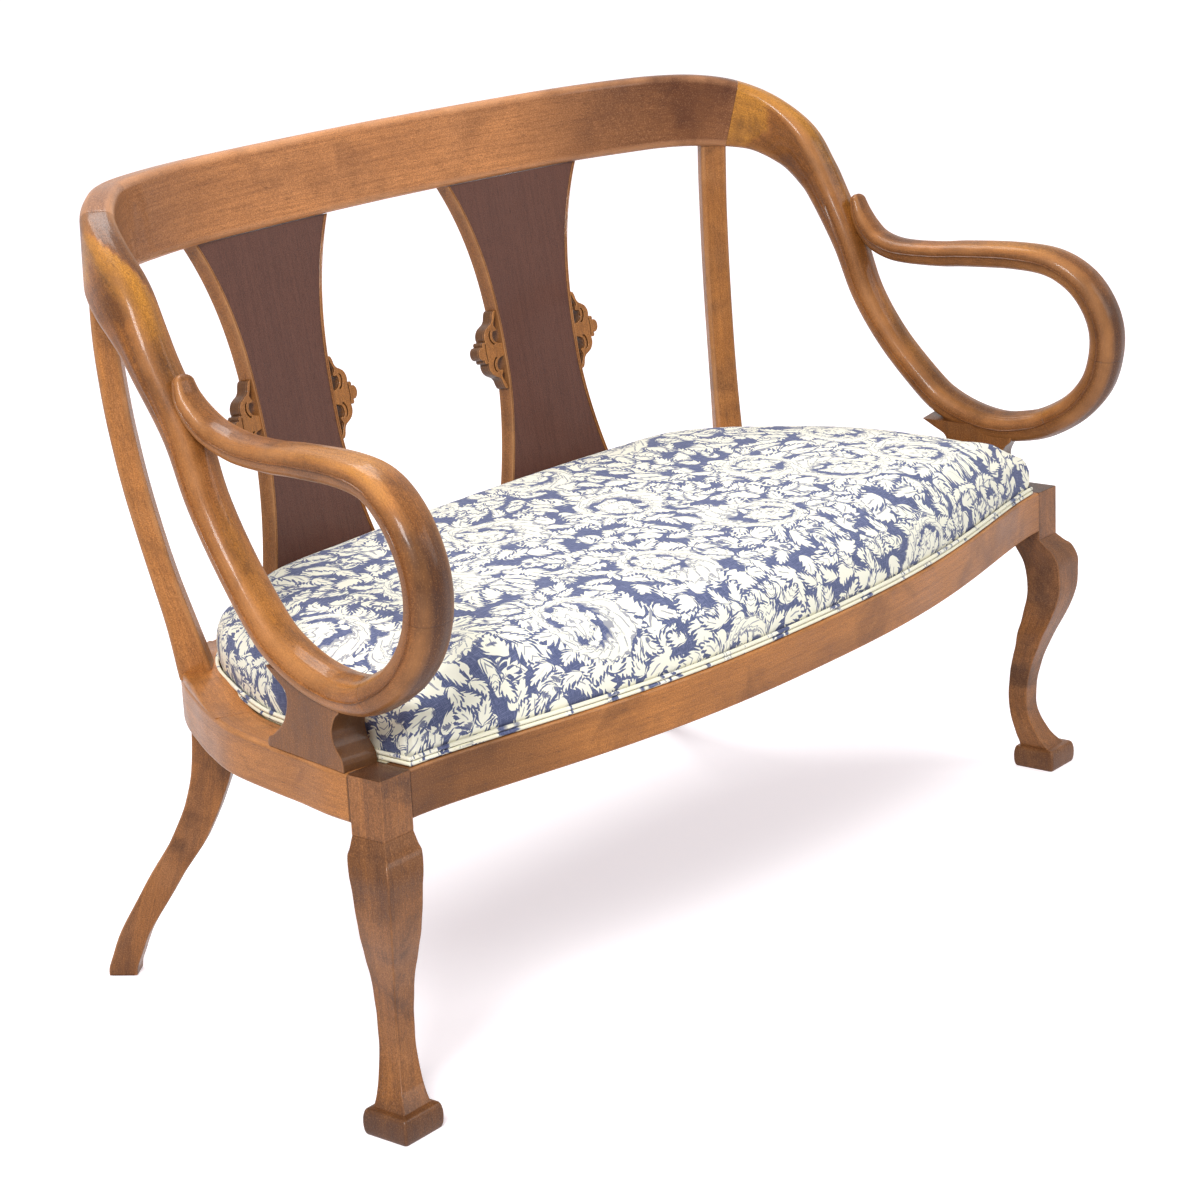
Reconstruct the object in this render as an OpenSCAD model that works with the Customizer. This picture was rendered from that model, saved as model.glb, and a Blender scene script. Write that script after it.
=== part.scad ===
// Cabriole settee: a two-splat open back, looped arms and a loose upholstered seat
// x runs along the back, y from the front to the back, z up from the floor

/* [Frame] */
// Width over the outer faces of the front leg blocks
frame_w = 1256; // [1100:1:1400]
// Depth from the front of the leg blocks to the back of the seat rim
frame_d = 488; // [460:1:520]
// Height of the top of the seat rim
seat_h = 366; // [345:1:400]
// How far the front rail bows out in the middle
front_bow = 72; // [40:1:85]
// Height of the seat rails
rail_h = 50; // [44:1:58]
// Thickness of the front rail
front_rail_t = 30; // [24:1:36]
// Thickness of the side rails and the back rail
rim_t = 42; // [38:1:46]

/* [Front legs] */
// Side of the square block at the top of a front leg
block = 42; // [38:1:46]
// How far the block reaches below the rails
block_drop = 11; // [5:1:20]
// How far the knee stands out from the block, along the diagonal
knee_out = 24.7; // [15:0.1:32]
// Side of the square foot
foot = 53; // [46:1:60]
// How far the middle of the foot lies outside that of the block, along the diagonal
foot_out = 13; // [4:0.5:20]

/* [Rear legs] */
// Thickness of a rear leg across its curve
rear_leg_t = 29; // [24:1:33]
// Depth of a rear leg at the seat rim
rear_leg_top = 50; // [42:1:54]
// Depth of a rear leg at the floor
rear_leg_foot = 32; // [28:1:38]
// How far the foot of a rear leg stands out from its top
rear_leg_out = 126; // [80:1:140]
// Angle of the curve of a rear leg, turned out from straight back
rear_turn = 33; // [25:1:42]

/* [Back] */
// Height of the top of the back above the floor
back_h = 878; // [840:1:930]
// Height of the top rail
crest_h = 91; // [80:1:104]
// Thickness of the top rail
crest_t = 32; // [28:1:38]
// Lean of the back from upright
lean = 8.4; // [6:0.1:10]
// Thickness of a rear post, square to the corner of the back
post_t = 26; // [22:1:28]
// Width of a rear post, along the corner of the back
post_w = 33; // [28:1:36]
// How far a rear post bows out and back
post_bow = 16; // [0:1:18]

/* [Splats] */
// Distance from the middle of the back to the middle of a splat
splat_x = 211; // [195:1:230]
// Width of a splat at the top rail
splat_top_w = 224; // [190:1:240]
// Width of a splat at its waist
splat_waist_w = 128; // [110:1:150]
// Width of a splat at the back rail
splat_foot_w = 222; // [180:1:240]
// Lean of a splat from upright
splat_lean = 9; // [7:0.1:10]
// Thickness of a splat
splat_t = 20; // [15:1:22]
// Width of the light edge round the dark panel
splat_edge = 5; // [3:0.5:9]
// Depth of the recess that holds the dark panel
panel_recess = 3; // [2:0.5:5]
// Thickness of the dark panel
panel_t = 2; // [1:0.5:2]
// Height of a carved ornament
ornament_h = 95; // [80:1:110]
// How far a carved ornament stands out from the waist
ornament_out = 42; // [25:1:50]
// Thickness of a carved ornament
ornament_t = 14; // [10:1:16]

/* [Arms] */
// How far the centre line of an arm lies inside the outer faces of the leg blocks, at the back
arm_inset = 42; // [30:1:60]
// How much further out the front of an arm lies
arm_out = 39; // [20:1:50]
// How far the back curves forward to where an arm leaves it
crest_reach = 183; // [165:1:200]
// How far below the middle of the top rail an arm leaves the corner
arm_fall = 56; // [45:1:65]
// How far the loop reaches in front of the leg blocks, to its centre line
arm_over = 73; // [50:1:90]
// Height of the centre line of the loop above the seat rim, at its lowest
arm_low = 75; // [68:1:90]
// Width of an arm from side to side
arm_w = 55; // [48:1:60]
// Thickness of an arm
arm_t = 38; // [34:1:42]
// Width of the block that carries an arm
saddle_w = 40; // [36:1:44]
// Length of the block that carries an arm
saddle_l = 128; // [110:1:140]

/* [Seat] */
// Height of the crown of the seat above the rim
seat_crown = 82; // [72:1:90]
// Height of the edge of the seat
seat_side = 62; // [48:1:68]
// How far the side of the seat lies inside the outer face of the rim
seat_inset = 47; // [46:1:54]
// How far the back of the seat lies inside the outer face of the rim
seat_back_inset = 39; // [39:1:46]
// Thickness of the loose seat frame
slip_t = 20; // [16:1:22]
// Width of the bars of the loose seat frame
slip_w = 50; // [40:1:60]
// Width of a strap of webbing
strap_w = 50; // [40:1:55]
// Thickness of a strap of webbing
strap_t = 1.2; // [0.8:0.1:1.6]
// Thickness of the cloth over and under the seat frame
cloth_t = 0.6; // [0.4:0.1:1]

/* [Joinery] */
// Diameter of a dowel
dowel_d = 9; // [6:0.5:10]
// Length of a dowel
dowel_l = 36; // [30:1:38]
// Diameter of a screw
screw_d = 4.5; // [3.5:0.5:6]
// Length of a screw
screw_l = 40; // [34:1:42]
// Clearance between pieces that are fitted round each other
fit = 0.3; // [0.2:0.05:0.5]
// Gap between the loose seat frame and the rim
slip_gap = 2; // [1:0.5:3]

/* [Hidden] */

// Shares of corner radius to the thinner side of a section
crest_round_share = 0.3;
arm_round_share = 0.32;
leg_round_share = 0.1;
post_round_share = 0.22;

// How far the top rail reaches above and behind its centre line
crest_r = crest_t * crest_round_share;
crest_up = crest_r + (crest_h / 2 - crest_r) * cos(lean) + (crest_t / 2 - crest_r) * sin(lean);
crest_back = crest_r + (crest_t / 2 - crest_r) * cos(lean) + (crest_h / 2 - crest_r) * sin(lean);

// Heights
crest_z = back_h - crest_up;
rail_z = seat_h - rail_h;
block_z = rail_z - block_drop;
slip_top = seat_h - cloth_t - 2 * strap_t;
slip_z = slip_top - slip_t;
ledge_z = slip_z - cloth_t;

// Places in plan, with y at 0 on the front of the leg blocks
half_w = frame_w / 2;
rail_end = half_w - block;
crest_y = frame_d - rim_t / 2 + (crest_z - seat_h) * tan(lean);
arm_x = half_w - arm_inset;
arm_root = crest_y - crest_reach;
arm_reach = arm_root + arm_over;
arm_foot_z = seat_h + arm_low;
arm_rise = crest_z - arm_fall - arm_foot_z;

// The origin lies under the middle of the box round the whole settee
front_most = -arm_over - arm_t / 2;
back_most = crest_y + crest_back;
y_mid = (front_most + back_most) / 2;

// Overrun of cuts past a face
over = 5;

// Rows of shares along the top rail, from its middle to the start of an arm: sideways, forward, down,
// growth to the width of the arm, growth to its thickness, turn from facing forward to facing inward
crest_shares = [
  [0, 0, 0, 0, 0, 0],
  [0.18, 0.015, 0, 0, 0, 0.01],
  [0.375, 0.05, 0, 0, 0, 0.03],
  [0.552, 0.107, 0, 0, 0, 0.08],
  [0.694, 0.215, 0, 0.02, 0, 0.14],
  [0.791, 0.34, 0, 0.05, 0.02, 0.24],
  [0.859, 0.49, 0.04, 0.09, 0.05, 0.38],
  [0.918, 0.645, 0.16, 0.18, 0.14, 0.56],
  [0.96, 0.832, 0.41, 0.4, 0.32, 0.78],
  [0.986, 1.038, 0.88, 0.7, 0.48, 1]];

// Rows of shares along an arm: forward, up from the lowest place, outward, width, thickness
arm_shares = [
  [0.079, 0.922, -0.08, 0.94, 1.4],
  [0.119, 0.839, -0.04, 0.95, 1.21],
  [0.195, 0.661, -0.08, 0.94, 1.05],
  [0.253, 0.471, -0.04, 0.91, 0.95],
  [0.336, 0.3, 0.06, 0.9, 0.91],
  [0.443, 0.14, 0.24, 0.92, 0.92],
  [0.506, 0.074, 0.31, 0.94, 0.94],
  [0.589, 0.025, 0.4, 0.96, 0.96],
  [0.679, 0, 0.5, 0.98, 0.98],
  [0.762, 0.006, 0.7, 1, 1],
  [0.827, 0.03, 0.86, 1, 1],
  [0.908, 0.093, 0.94, 1, 1],
  [0.968, 0.183, 1, 1, 1],
  [0.996, 0.285, 1, 1, 1],
  [0.998, 0.387, 1, 1, 1],
  [0.972, 0.483, 0.95, 1, 0.98],
  [0.922, 0.567, 0.84, 1, 0.94],
  [0.847, 0.625, 0.65, 0.97, 0.9],
  [0.741, 0.645, 0.44, 0.93, 0.88],
  [0.589, 0.643, 0.24, 0.89, 0.85],
  [0.505, 0.637, 0.12, 0.86, 0.82],
  [0.407, 0.639, 0, 0.83, 0.78],
  [0.347, 0.65, -0.07, 0.8, 0.75],
  [0.291, 0.678, -0.05, 0.76, 0.7],
  [0.253, 0.721, 0.02, 0.68, 0.62],
  [0.228, 0.768, 0.07, 0.56, 0.46],
  [0.217, 0.812, 0.07, 0.42, 0.28]];

// Rings between two rows, and the rows at which the bent pieces meet
ring_steps = 3;
corner_row = 5;
sweep_row = 7;
bow_row = 20;
bow_joint_row = 23;
tip_row = 29;
tip_seat_rows = [9, 14];
last_row = len(crest_shares) + len(arm_shares) - 1;

// Rows of shares of half the width and of the depth, along the outer edge of the seat rim
rim_shares = [[0.993, 0.16], [0.977, 0.25], [0.963, 0.345], [0.936, 0.494], [0.893, 0.613],
  [0.851, 0.706], [0.809, 0.79], [0.759, 0.865], [0.695, 0.928], [0.617, 0.962], [0.53, 0.975],
  [0.36, 0.988], [0.18, 0.997], [0, 1]];
rim_steps = 2;
post_step = 15;
rear_leg_step = 18;
rim_joint_step = 22;
rear_block_steps = [11, 21];
rear_screw_step = 16;

function mix(a, b, t) = a + (b - a) * t;
function unit(v) = v / norm(v);
function flat_normal(v) = unit([-v[1], v[0]]);
function reversed(p) = [for (i = [len(p) - 1:-1:0]) p[i]];
function mirrored(p) = [for (q = p) [-q[0], q[1]]];

// Smooth curve through the rows of a table, with the given number of steps between rows
function bend(a, b, c, d, t) =
  (2 * b + (c - a) * t + (2 * a - 5 * b + 4 * c - d) * pow(t, 2) + (3 * b - a - 3 * c + d) * pow(t, 3)) / 2;
function smooth(p, steps) = [for (i = [0:len(p) - 2]) for (k = [0:steps - 1])
    bend(p[max(i - 1, 0)], p[i], p[i + 1], p[min(i + 2, len(p) - 1)], k / steps), p[len(p) - 1]];

// Stations along the top rail and the right arm: place, width, thickness, turn and corner radius
function crest_row(s) = [arm_x * s[0], crest_y - crest_reach * s[1], crest_z - arm_fall * s[2],
    mix(crest_t, arm_w, s[3]), mix(crest_h, arm_t, s[4]), 90 * s[5],
    mix(crest_r, arm_t * arm_round_share, s[3])];
function arm_row(s) = [arm_x + arm_out * s[2], arm_root - arm_reach * s[0], arm_foot_z + arm_rise * s[1],
    arm_w * s[3], arm_t * s[4], 90, arm_t * min(s[4], 1) * arm_round_share];
stations = smooth([for (s = crest_shares) crest_row(s), for (s = arm_shares) arm_row(s)], ring_steps);
function place(i) = [stations[i][0], stations[i][1], stations[i][2]];
function course(i) = i == 0 ? [1, 0, 0]
  : unit(place(min(i + 1, len(stations) - 1)) - place(i - 1));

// Turn of the top rail at which its faces stand upright
upright_turn = 45;

// Direction across the width of the bar, which points to the sitter, and square to it the other side
function facing(i) = let (a = stations[i][5], t = course(i), tilt = lean * max(0, 1 - a / upright_turn),
    s = [-sin(a), -cos(a) * cos(tilt), cos(a) * sin(tilt)]) unit(s - (s * t) * t);
function upward(i) = cross(facing(i), course(i));

// Rounded rectangle, with its corners as arcs of three steps
corner_steps = 3;
function box_section(w, h, r) = [for (q = [0:3]) for (k = [0:corner_steps])
    let (a = 90 * q + 90 * k / corner_steps, sx = q == 0 || q == 3 ? 1 : -1, sy = q < 2 ? 1 : -1)
    [sx * (w / 2 - r) + r * cos(a), sy * (h / 2 - r) + r * sin(a)]];
function station_ring(i, grow) = let (s = stations[i], f = facing(i), u = upward(i))
  [for (p = reversed(box_section(s[3] + 2 * grow, s[4] + 2 * grow, s[6] + grow))) place(i) + f * p[0] + u * p[1]];

// Skin over rings whose points run anticlockwise seen against the way from ring to ring
module skin(rings) {
  n = len(rings[0]);
  m = len(rings);
  sides = [for (i = [0:m - 2]) for (j = [0:n - 1]) let (a = i * n + j, b = i * n + (j + 1) % n)
      each [[a, a + n, b + n], [a, b + n, b]]];
  bottom = [for (j = [0:n - 1]) j];
  top = [for (j = [n - 1:-1:0]) (m - 1) * n + j];
  polyhedron(points = [for (r = rings) each r], faces = concat([bottom], sides, [top]));
}

// Skin whose ends are closed with fans round a middle point
module domed_skin(rings, low, high) {
  n = len(rings[0]);
  m = len(rings);
  sides = [for (i = [0:m - 2]) for (j = [0:n - 1]) let (a = i * n + j, b = i * n + (j + 1) % n)
      each [[a, a + n, b + n], [a, b + n, b]]];
  bottom = [for (j = [0:n - 1]) [j, (j + 1) % n, m * n]];
  top = [for (j = [0:n - 1]) [(m - 1) * n + (j + 1) % n, (m - 1) * n + j, m * n + 1]];
  polyhedron(points = concat([for (r = rings) each r], [low, high]), faces = concat(bottom, sides, top));
}

// The settee's own frame, and a right-hand piece put on either side
module seated() { translate([0, -y_mid, 0]) children(); }
module on_side(side) {
  seated()
    if (side > 0) children();
    else mirror([1, 0, 0]) children();
}

module bent_bar(from_row, to_row, grow = 0) {
  skin([for (i = [from_row * ring_steps:to_row * ring_steps]) station_ring(i, grow)]);
}

// Seat rim in plan
rim = smooth(concat([[half_w, block]], [for (s = rim_shares) [half_w * s[0], frame_d * s[1]]]), rim_steps);
rim_last = len(rim) - 1;
function rim_normal(i) = i == rim_last ? [0, -1]
  : i == 0 ? [-1, 0] : flat_normal(rim[i + 1] - rim[i - 1]);
function rim_in(i, d) = rim[i] + rim_normal(i) * d;
function rim_edge(i0, i1, d) = [for (i = [i0:i1]) rim_in(i, d)];
function rim_heading(i) = unit(rim[i + 1] - rim[i - 1]);

// Front rail in plan: the bow of its front face
bow_power = 2.5;
bow_ease = 1.6;
bow_steps = 12;
function bow_y(x) = -front_bow * pow(max(0, 1 - pow(abs(x) / rail_end, bow_power)), bow_ease);
function bow_edge(half, set) = [for (k = [-bow_steps:bow_steps]) let (x = half * k / bow_steps) [x, bow_y(x) + set]];

module front_rail_plan() {
  polygon(concat(bow_edge(rail_end, 0), reversed(bow_edge(rail_end, front_rail_t))));
}
module side_rail_plan() {
  polygon(concat(rim_edge(0, rim_joint_step, 0), reversed(rim_edge(0, rim_joint_step, rim_t))));
}
module back_rail_plan() {
  outer = rim_edge(rim_joint_step, rim_last, 0);
  inner = rim_edge(rim_joint_step, rim_last, rim_t);
  polygon(concat(outer, reversed(mirrored(outer)), mirrored(inner), reversed(inner)));
}
module block_plan() { translate([rail_end, 0]) square(block); }

seat_screw_set = slip_gap + slip_w / 2;

// Outline of the loose seat, set in from the rim and the front rail
function seat_outline(side_set, front_set) = let (
    side = rim_edge(0, rim_last, side_set), half = side[0][0])
  concat(bow_edge(half, front_set), side, reversed(mirrored([for (i = [0:rim_last - 1]) side[i]])));
module slip_plan() {
  polygon(seat_outline(rim_t + slip_gap, front_rail_t + slip_gap));
}
module slip_bow_plan() {
  front = front_rail_t + slip_gap;
  polygon(concat(bow_edge(rail_end, front), reversed(bow_edge(rail_end, front + slip_w))));
}
module slip_front_plan() {
  intersection() {
    slip_plan();
    slip_bow_plan();
  }
}
module slip_back_plan() {
  outer = rim_edge(rim_joint_step, rim_last, rim_t + slip_gap);
  inner = rim_edge(rim_joint_step, rim_last, rim_t + slip_gap + slip_w);
  polygon(concat(outer, reversed(mirrored(outer)), mirrored(inner), reversed(inner)));
}
module slip_side_plan() {
  difference() {
    polygon(concat(rim_edge(0, rim_joint_step, rim_t + slip_gap),
      reversed(rim_edge(0, rim_joint_step, rim_t + slip_gap + slip_w))));
    slip_bow_plan();
  }
}
module slip_middle_plan() {
  difference() {
    translate([-slip_w / 2, bow_y(0) + front_rail_t + seat_screw_set])
      square([slip_w, frame_d - rim_t - front_rail_t - 2 * seat_screw_set - bow_y(0)]);
    slip_bow_plan();
    slip_back_plan();
  }
}

// Corner blocks: a triangle behind each front leg, and a segment in each rounded rear corner
front_block_leg = 2.5 * block;
module front_block_plan() {
  difference() {
    polygon([[rail_end + over, 0], [rail_end + over, front_block_leg + front_rail_t],
      [rail_end - front_block_leg, 0]]);
    front_rail_plan();
    side_rail_plan();
    block_plan();
  }
}
module rear_block_plan() {
  polygon(rim_edge(rear_block_steps[0], rear_block_steps[1], rim_t));
}
cross_rail_w = front_rail_t;
module cross_rail_plan() {
  difference() {
    translate([splat_x - cross_rail_w / 2, bow_y(splat_x) + front_rail_t / 2])
      square([cross_rail_w, front_bow + frame_d]);
    front_rail_plan();
    back_rail_plan();
    translate([0, frame_d - rim_t]) square([half_w, frame_d]);
  }
}

// Upright screws that hold the loose seat frame, two on each side
function seat_screw_places() = [
  [rail_end - slip_w, front_rail_t + seat_screw_set],
  rim_in(rear_screw_step, rim_t + seat_screw_set)];
module screw_holes() {
  for (p = seat_screw_places()) translate([p[0], p[1], rail_z - over])
    cylinder(d = screw_d + 2 * fit, h = screw_l + over + fit, $fn = 16);
}
module both_sides() {
  children();
  mirror([1, 0, 0]) children();
}

// Dowels, as places and directions on the right-hand side
dowel_rise_shares = [0.3, 0.7];
block_mid = half_w - block / 2;
rail_mid = front_rail_t / 2;
module dowel(grow) {
  cylinder(d = dowel_d + 2 * grow, h = dowel_l + 2 * grow, center = true, $fn = 16);
}
module front_dowels(grow = 0) {
  for (s = dowel_rise_shares) translate([rail_end, rail_mid, rail_z + rail_h * s])
    rotate([0, 90, 0]) dowel(grow);
}
module side_dowels(grow = 0) {
  for (s = dowel_rise_shares) translate([block_mid, block, rail_z + rail_h * s])
    rotate([90, 0, 0]) dowel(grow);
}
module back_dowels(grow = 0) {
  h = rim_heading(rim_joint_step);
  p = rim_in(rim_joint_step, rim_t / 2);
  for (s = dowel_rise_shares) translate([p[0], p[1], rail_z + rail_h * s])
    rotate([0, 0, atan2(h[1], h[0])]) rotate([0, 90, 0]) dowel(grow);
}
module leg_dowel(grow = 0) {
  translate([rear_leg_x, rear_leg_y, rail_z]) dowel(grow);
}
module post_dowel(grow = 0) {
  translate([post_foot[0], post_foot[1], seat_h]) rotate(post_tilt) dowel(grow);
}
module saddle_dowels(grow = 0) {
  for (s = saddle_dowel_shares) translate([half_w, block, seat_h])
    rotate([0, 0, saddle_turn]) translate([-saddle_w / 2, saddle_l * s, 0]) dowel(grow);
}

// Front leg: rows of shares of its height, knee reach and block side; the foot has its own
leg_shares = [[1, 0, 1], [0.968, 0.33, 1.12], [0.947, 0.57, 1.22], [0.895, 0.89, 1.215],
  [0.844, 0.98, 1.155], [0.781, 1, 1.11], [0.73, 0.9, 1.057], [0.68, 0.69, 1.01], [0.631, 0.45, 0.93],
  [0.58, 0.16, 0.861], [0.529, -0.05, 0.767], [0.478, -0.27, 0.707], [0.427, -0.43, 0.676],
  [0.376, -0.54, 0.637], [0.322, -0.59, 0.633], [0.267, -0.57, 0.624], [0.213, -0.41, 0.667],
  [0.159, -0.13, 0.743], [0.135, 0.02, 0.793], [0.111, 0.22, 0.861], [0.09, 0.41, 0.952]];
foot_shares = [[0.084, 0.96], [0.07, 1.06], [0.035, 1.08], [0, 1]];
function diagonal(z, out, side) = let (d = out / sqrt(2))
  [for (p = box_section(side, side, side * leg_round_share)) [block_mid + d + p[0], block / 2 - d + p[1], z]];
leg_rings = concat(
  [for (s = reversed(foot_shares)) diagonal(block_z * s[0], foot_out, foot * s[1])],
  [for (s = reversed(leg_shares)) diagonal(block_z * s[0], knee_out * s[1], block * s[2])]);

// Rear leg: rows of shares of its height, of its reach and from its foot depth to its top depth
rear_leg_shares = [[0, 0, 0], [0.03, 0.007, 0.03], [0.072, 0.047, 0.05], [0.165, 0.145, 0.1],
  [0.29, 0.338, 0.24], [0.38, 0.476, 0.29], [0.47, 0.633, 0.38], [0.51, 0.695, 0.41], [0.6, 0.807, 0.43],
  [0.655, 0.862, 0.48], [0.745, 0.935, 0.67], [0.867, 0.985, 0.9], [1, 1, 1]];
rear_leg_place_share = 0.62;
rear_leg_place = rim_in(rear_leg_step, rim_t * rear_leg_place_share);
rear_leg_x = rear_leg_place[0];
rear_leg_y = rear_leg_place[1];
function rear_leg_ring(s) = let (out = rear_leg_out * (1 - s[1]), d = mix(rear_leg_foot, rear_leg_top, s[2]),
    way = [sin(rear_turn), cos(rear_turn)], across = [cos(rear_turn), -sin(rear_turn)])
  [for (p = box_section(rear_leg_t, d, rear_leg_t * leg_round_share))
    let (q = [rear_leg_x, rear_leg_y] + way * (out + p[1]) + across * p[0]) [q[0], q[1], rail_z * s[0]]];

// Rear post: from the rim to the underside of the corner of the top rail, bowed out and back;
// rows of shares of its height, its bow, its thickness and its width
post_turn = 40;
post_place_share = 0.44;
post_foot = rim_in(post_step, rim_t * post_place_share);
post_back = 4;
post_head_station = 19;
post_head_share = 0.35;
post_head = mix(place(post_head_station), place(post_head_station + 1), post_head_share)
  - facing(post_head_station) * post_back;
post_run = [post_head[0] - post_foot[0], post_head[1] - post_foot[1], crest_z - crest_h / 2 - seat_h];
post_tilt = [-atan2(post_run[1], post_run[2]), atan2(post_run[0], post_run[2]), 0];
post_shares = [[0, 0, 1.4, 1.16], [0.03, 0.04, 1.37, 1.14], [0.08, 0.13, 1.26, 1.09], [0.15, 0.28, 1.13, 1.04],
  [0.25, 0.56, 1.03, 1], [0.36, 0.8, 1, 0.98], [0.49, 0.98, 1, 0.98], [0.6, 1, 1, 0.98],
  [0.7, 0.93, 1, 0.98], [0.82, 0.7, 1, 0.98], [0.92, 0.36, 1, 1], [1.06, -0.3, 1, 1]];
function post_ring(s) = let (c = cos(post_turn), k = sin(post_turn), b = post_bow * s[1])
  [for (p = box_section(post_w * s[3], post_t * s[2], post_t * post_round_share))
    [post_foot[0] + post_run[0] * s[0] + p[0] * c + (p[1] + b) * k,
      post_foot[1] + post_run[1] * s[0] - p[0] * k + (p[1] + b) * c, seat_h + post_run[2] * s[0]]];

// Block under an arm: shares of its length and of the height of the arm
saddle_front_shares = [[0.04, 0], [0.05, 0.16], [0.13, 0.32], [0.16, 0.5], [0.11, 0.7], [0.05, 0.8], [0.02, 1]];
saddle_rear_shares = [[0.96, 1.1], [0.85, 0.98], [0.73, 0.84], [0.715, 0.65], [0.776, 0.4], [0.9, 0.2],
  [0.99, 0.11], [1, 0]];
saddle_dowel_shares = [0.3, 0.6];
saddle_end = rim[6];
saddle_turn = -atan2(saddle_end[0] - half_w, saddle_end[1] - block);
saddle_rows = [15, 21];
function saddle_points(shares) = [for (s = smooth(shares, 2)) [saddle_l * s[0], arm_low * s[1]]];
module saddle_profile() {
  polygon(concat(saddle_points(saddle_front_shares), saddle_points(saddle_rear_shares)));
}

// Splat, drawn in its own plane with v up along the board
crest_line = [for (i = [0:corner_row * ring_steps]) [stations[i][0], stations[i][1]]];
splat_crest_y = lookup(splat_x, crest_line);
splat_y = splat_crest_y - (crest_z - seat_h) * tan(splat_lean);
splat_yaw = atan2(lookup(splat_x + splat_waist_w / 2, crest_line) - lookup(splat_x - splat_waist_w / 2, crest_line),
  splat_waist_w);
splat_l = (crest_z - seat_h) / cos(splat_lean) - crest_h / 2 - 3 * fit;
waist_share = 0.46;
top_power = 2.75;
foot_power = 1.7;
splat_steps = 12;
waist_v = splat_l * waist_share;
function splat_half(v) = v > waist_v
  ? splat_waist_w / 2 + (splat_top_w - splat_waist_w) / 2 * pow((v - waist_v) / (splat_l - waist_v), top_power)
  : splat_waist_w / 2 + (splat_foot_w - splat_waist_w) / 2 * pow((waist_v - v) / waist_v, foot_power);
function splat_side(inset) = concat([[splat_half(0) - inset, -over]],
  [for (k = [0:splat_steps * 2]) let (v = splat_l * k / splat_steps / 2) [splat_half(v) - inset, v]]);
module splat_plan(inset = 0) {
  side = splat_side(inset);
  polygon(concat(side, reversed(mirrored(side))));
}
module on_splat() {
  translate([splat_x, splat_y, seat_h]) rotate([0, 0, splat_yaw]) rotate([-splat_lean, 0, 0])
    translate([0, splat_t / 2, 0]) rotate([90, 0, 0]) children();
}
module above_rail() {
  difference() {
    children();
    translate([0, 0, rail_z]) cube([half_w, frame_d, rail_h]);
  }
}

// Carved ornament: shares of its reach from the waist and of its height
ornament_shares = [[0.02, 1], [0.16, 0.95], [0.3, 0.84], [0.45, 0.72], [0.6, 0.66], [0.7, 0.56], [1, 0.5],
  [1, 0.38], [0.75, 0.3], [0.72, 0.16], [0.5, 0.12], [0.32, 0], [0.02, -0.04]];
ornament_low_share = 0.41;
boss_shares = [[0.3, 0.62], [0.3, 0.32]];
boss_d_share = 0.3;
module ornament_plan() {
  difference() {
    translate([splat_waist_w / 2, splat_l * ornament_low_share])
      polygon(concat([[-splat_edge, 0]], [[-splat_edge, ornament_h]],
        [for (s = ornament_shares) [ornament_out * s[0], ornament_h * s[1]]]));
    splat_plan();
  }
}

// Seat cushion: rows of shares of the side height and of the rounding; then of the crown and of the plan
seat_round = 22;
seat_turn_steps = [5, 14];
corner_low_share = 0.2;
corner_reach = frame_d / 3;
cushion_side_shares = [[0, 0.25], [0.12, 0.12], [0.34, 0], [0.62, 0.04], [0.85, 0.28], [1, 0.9]];
cushion_crown_shares = [[0.3, 0.9], [0.58, 0.8], [0.8, 0.66], [0.93, 0.48], [0.99, 0.25]];
cushion_front_set = 4;
function seat_set(i) = mix(seat_inset, seat_back_inset,
  min(1, max(0, (i - seat_turn_steps[0]) / (seat_turn_steps[1] - seat_turn_steps[0]))));
cushion_side = [for (i = [0:rim_last]) rim_in(i, seat_set(i))];
cushion_edge = concat(bow_edge(cushion_side[0][0], cushion_front_set), cushion_side,
  reversed(mirrored([for (i = [0:rim_last - 1]) cushion_side[i]])));
cushion_half_w = cushion_side[0][0];
cushion_mid_y = (cushion_side[rim_last][1] - front_bow) / 2;
cushion_half_d = (cushion_side[rim_last][1] + front_bow) / 2;
function edge_h(p) = seat_side * (1 - corner_low_share
  * pow(max(0, 1 - norm([abs(p[0]) - cushion_half_w, p[1] - block]) / corner_reach), 2));
function cushion_ring(s) = [for (p = cushion_edge)
    [p[0] * (1 - s[1] * seat_round / cushion_half_w),
      cushion_mid_y + (p[1] - cushion_mid_y) * (1 - s[1] * seat_round / cushion_half_d),
      seat_h + fit + edge_h(p) * s[0]]];
function crown_ring(s) = [for (p = cushion_edge)
    [p[0] * s[1], cushion_mid_y + (p[1] - cushion_mid_y) * s[1], seat_h + mix(edge_h(p), seat_crown, s[0])]];
cushion_rings = concat([for (s = cushion_side_shares) cushion_ring(s)],
  [for (s = cushion_crown_shares) crown_ring(s)]);

// Straps of webbing: places as shares of the inside of the seat frame
long_strap_shares = [0.22, 0.5, 0.78];
cross_strap_shares = [-0.78, -0.56, -0.34, -0.12, 0.12, 0.34, 0.56, 0.78];

wood = "#8a5a35";
dark_wood = "#4d3530";
inner_wood = "#b98f60";

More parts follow.
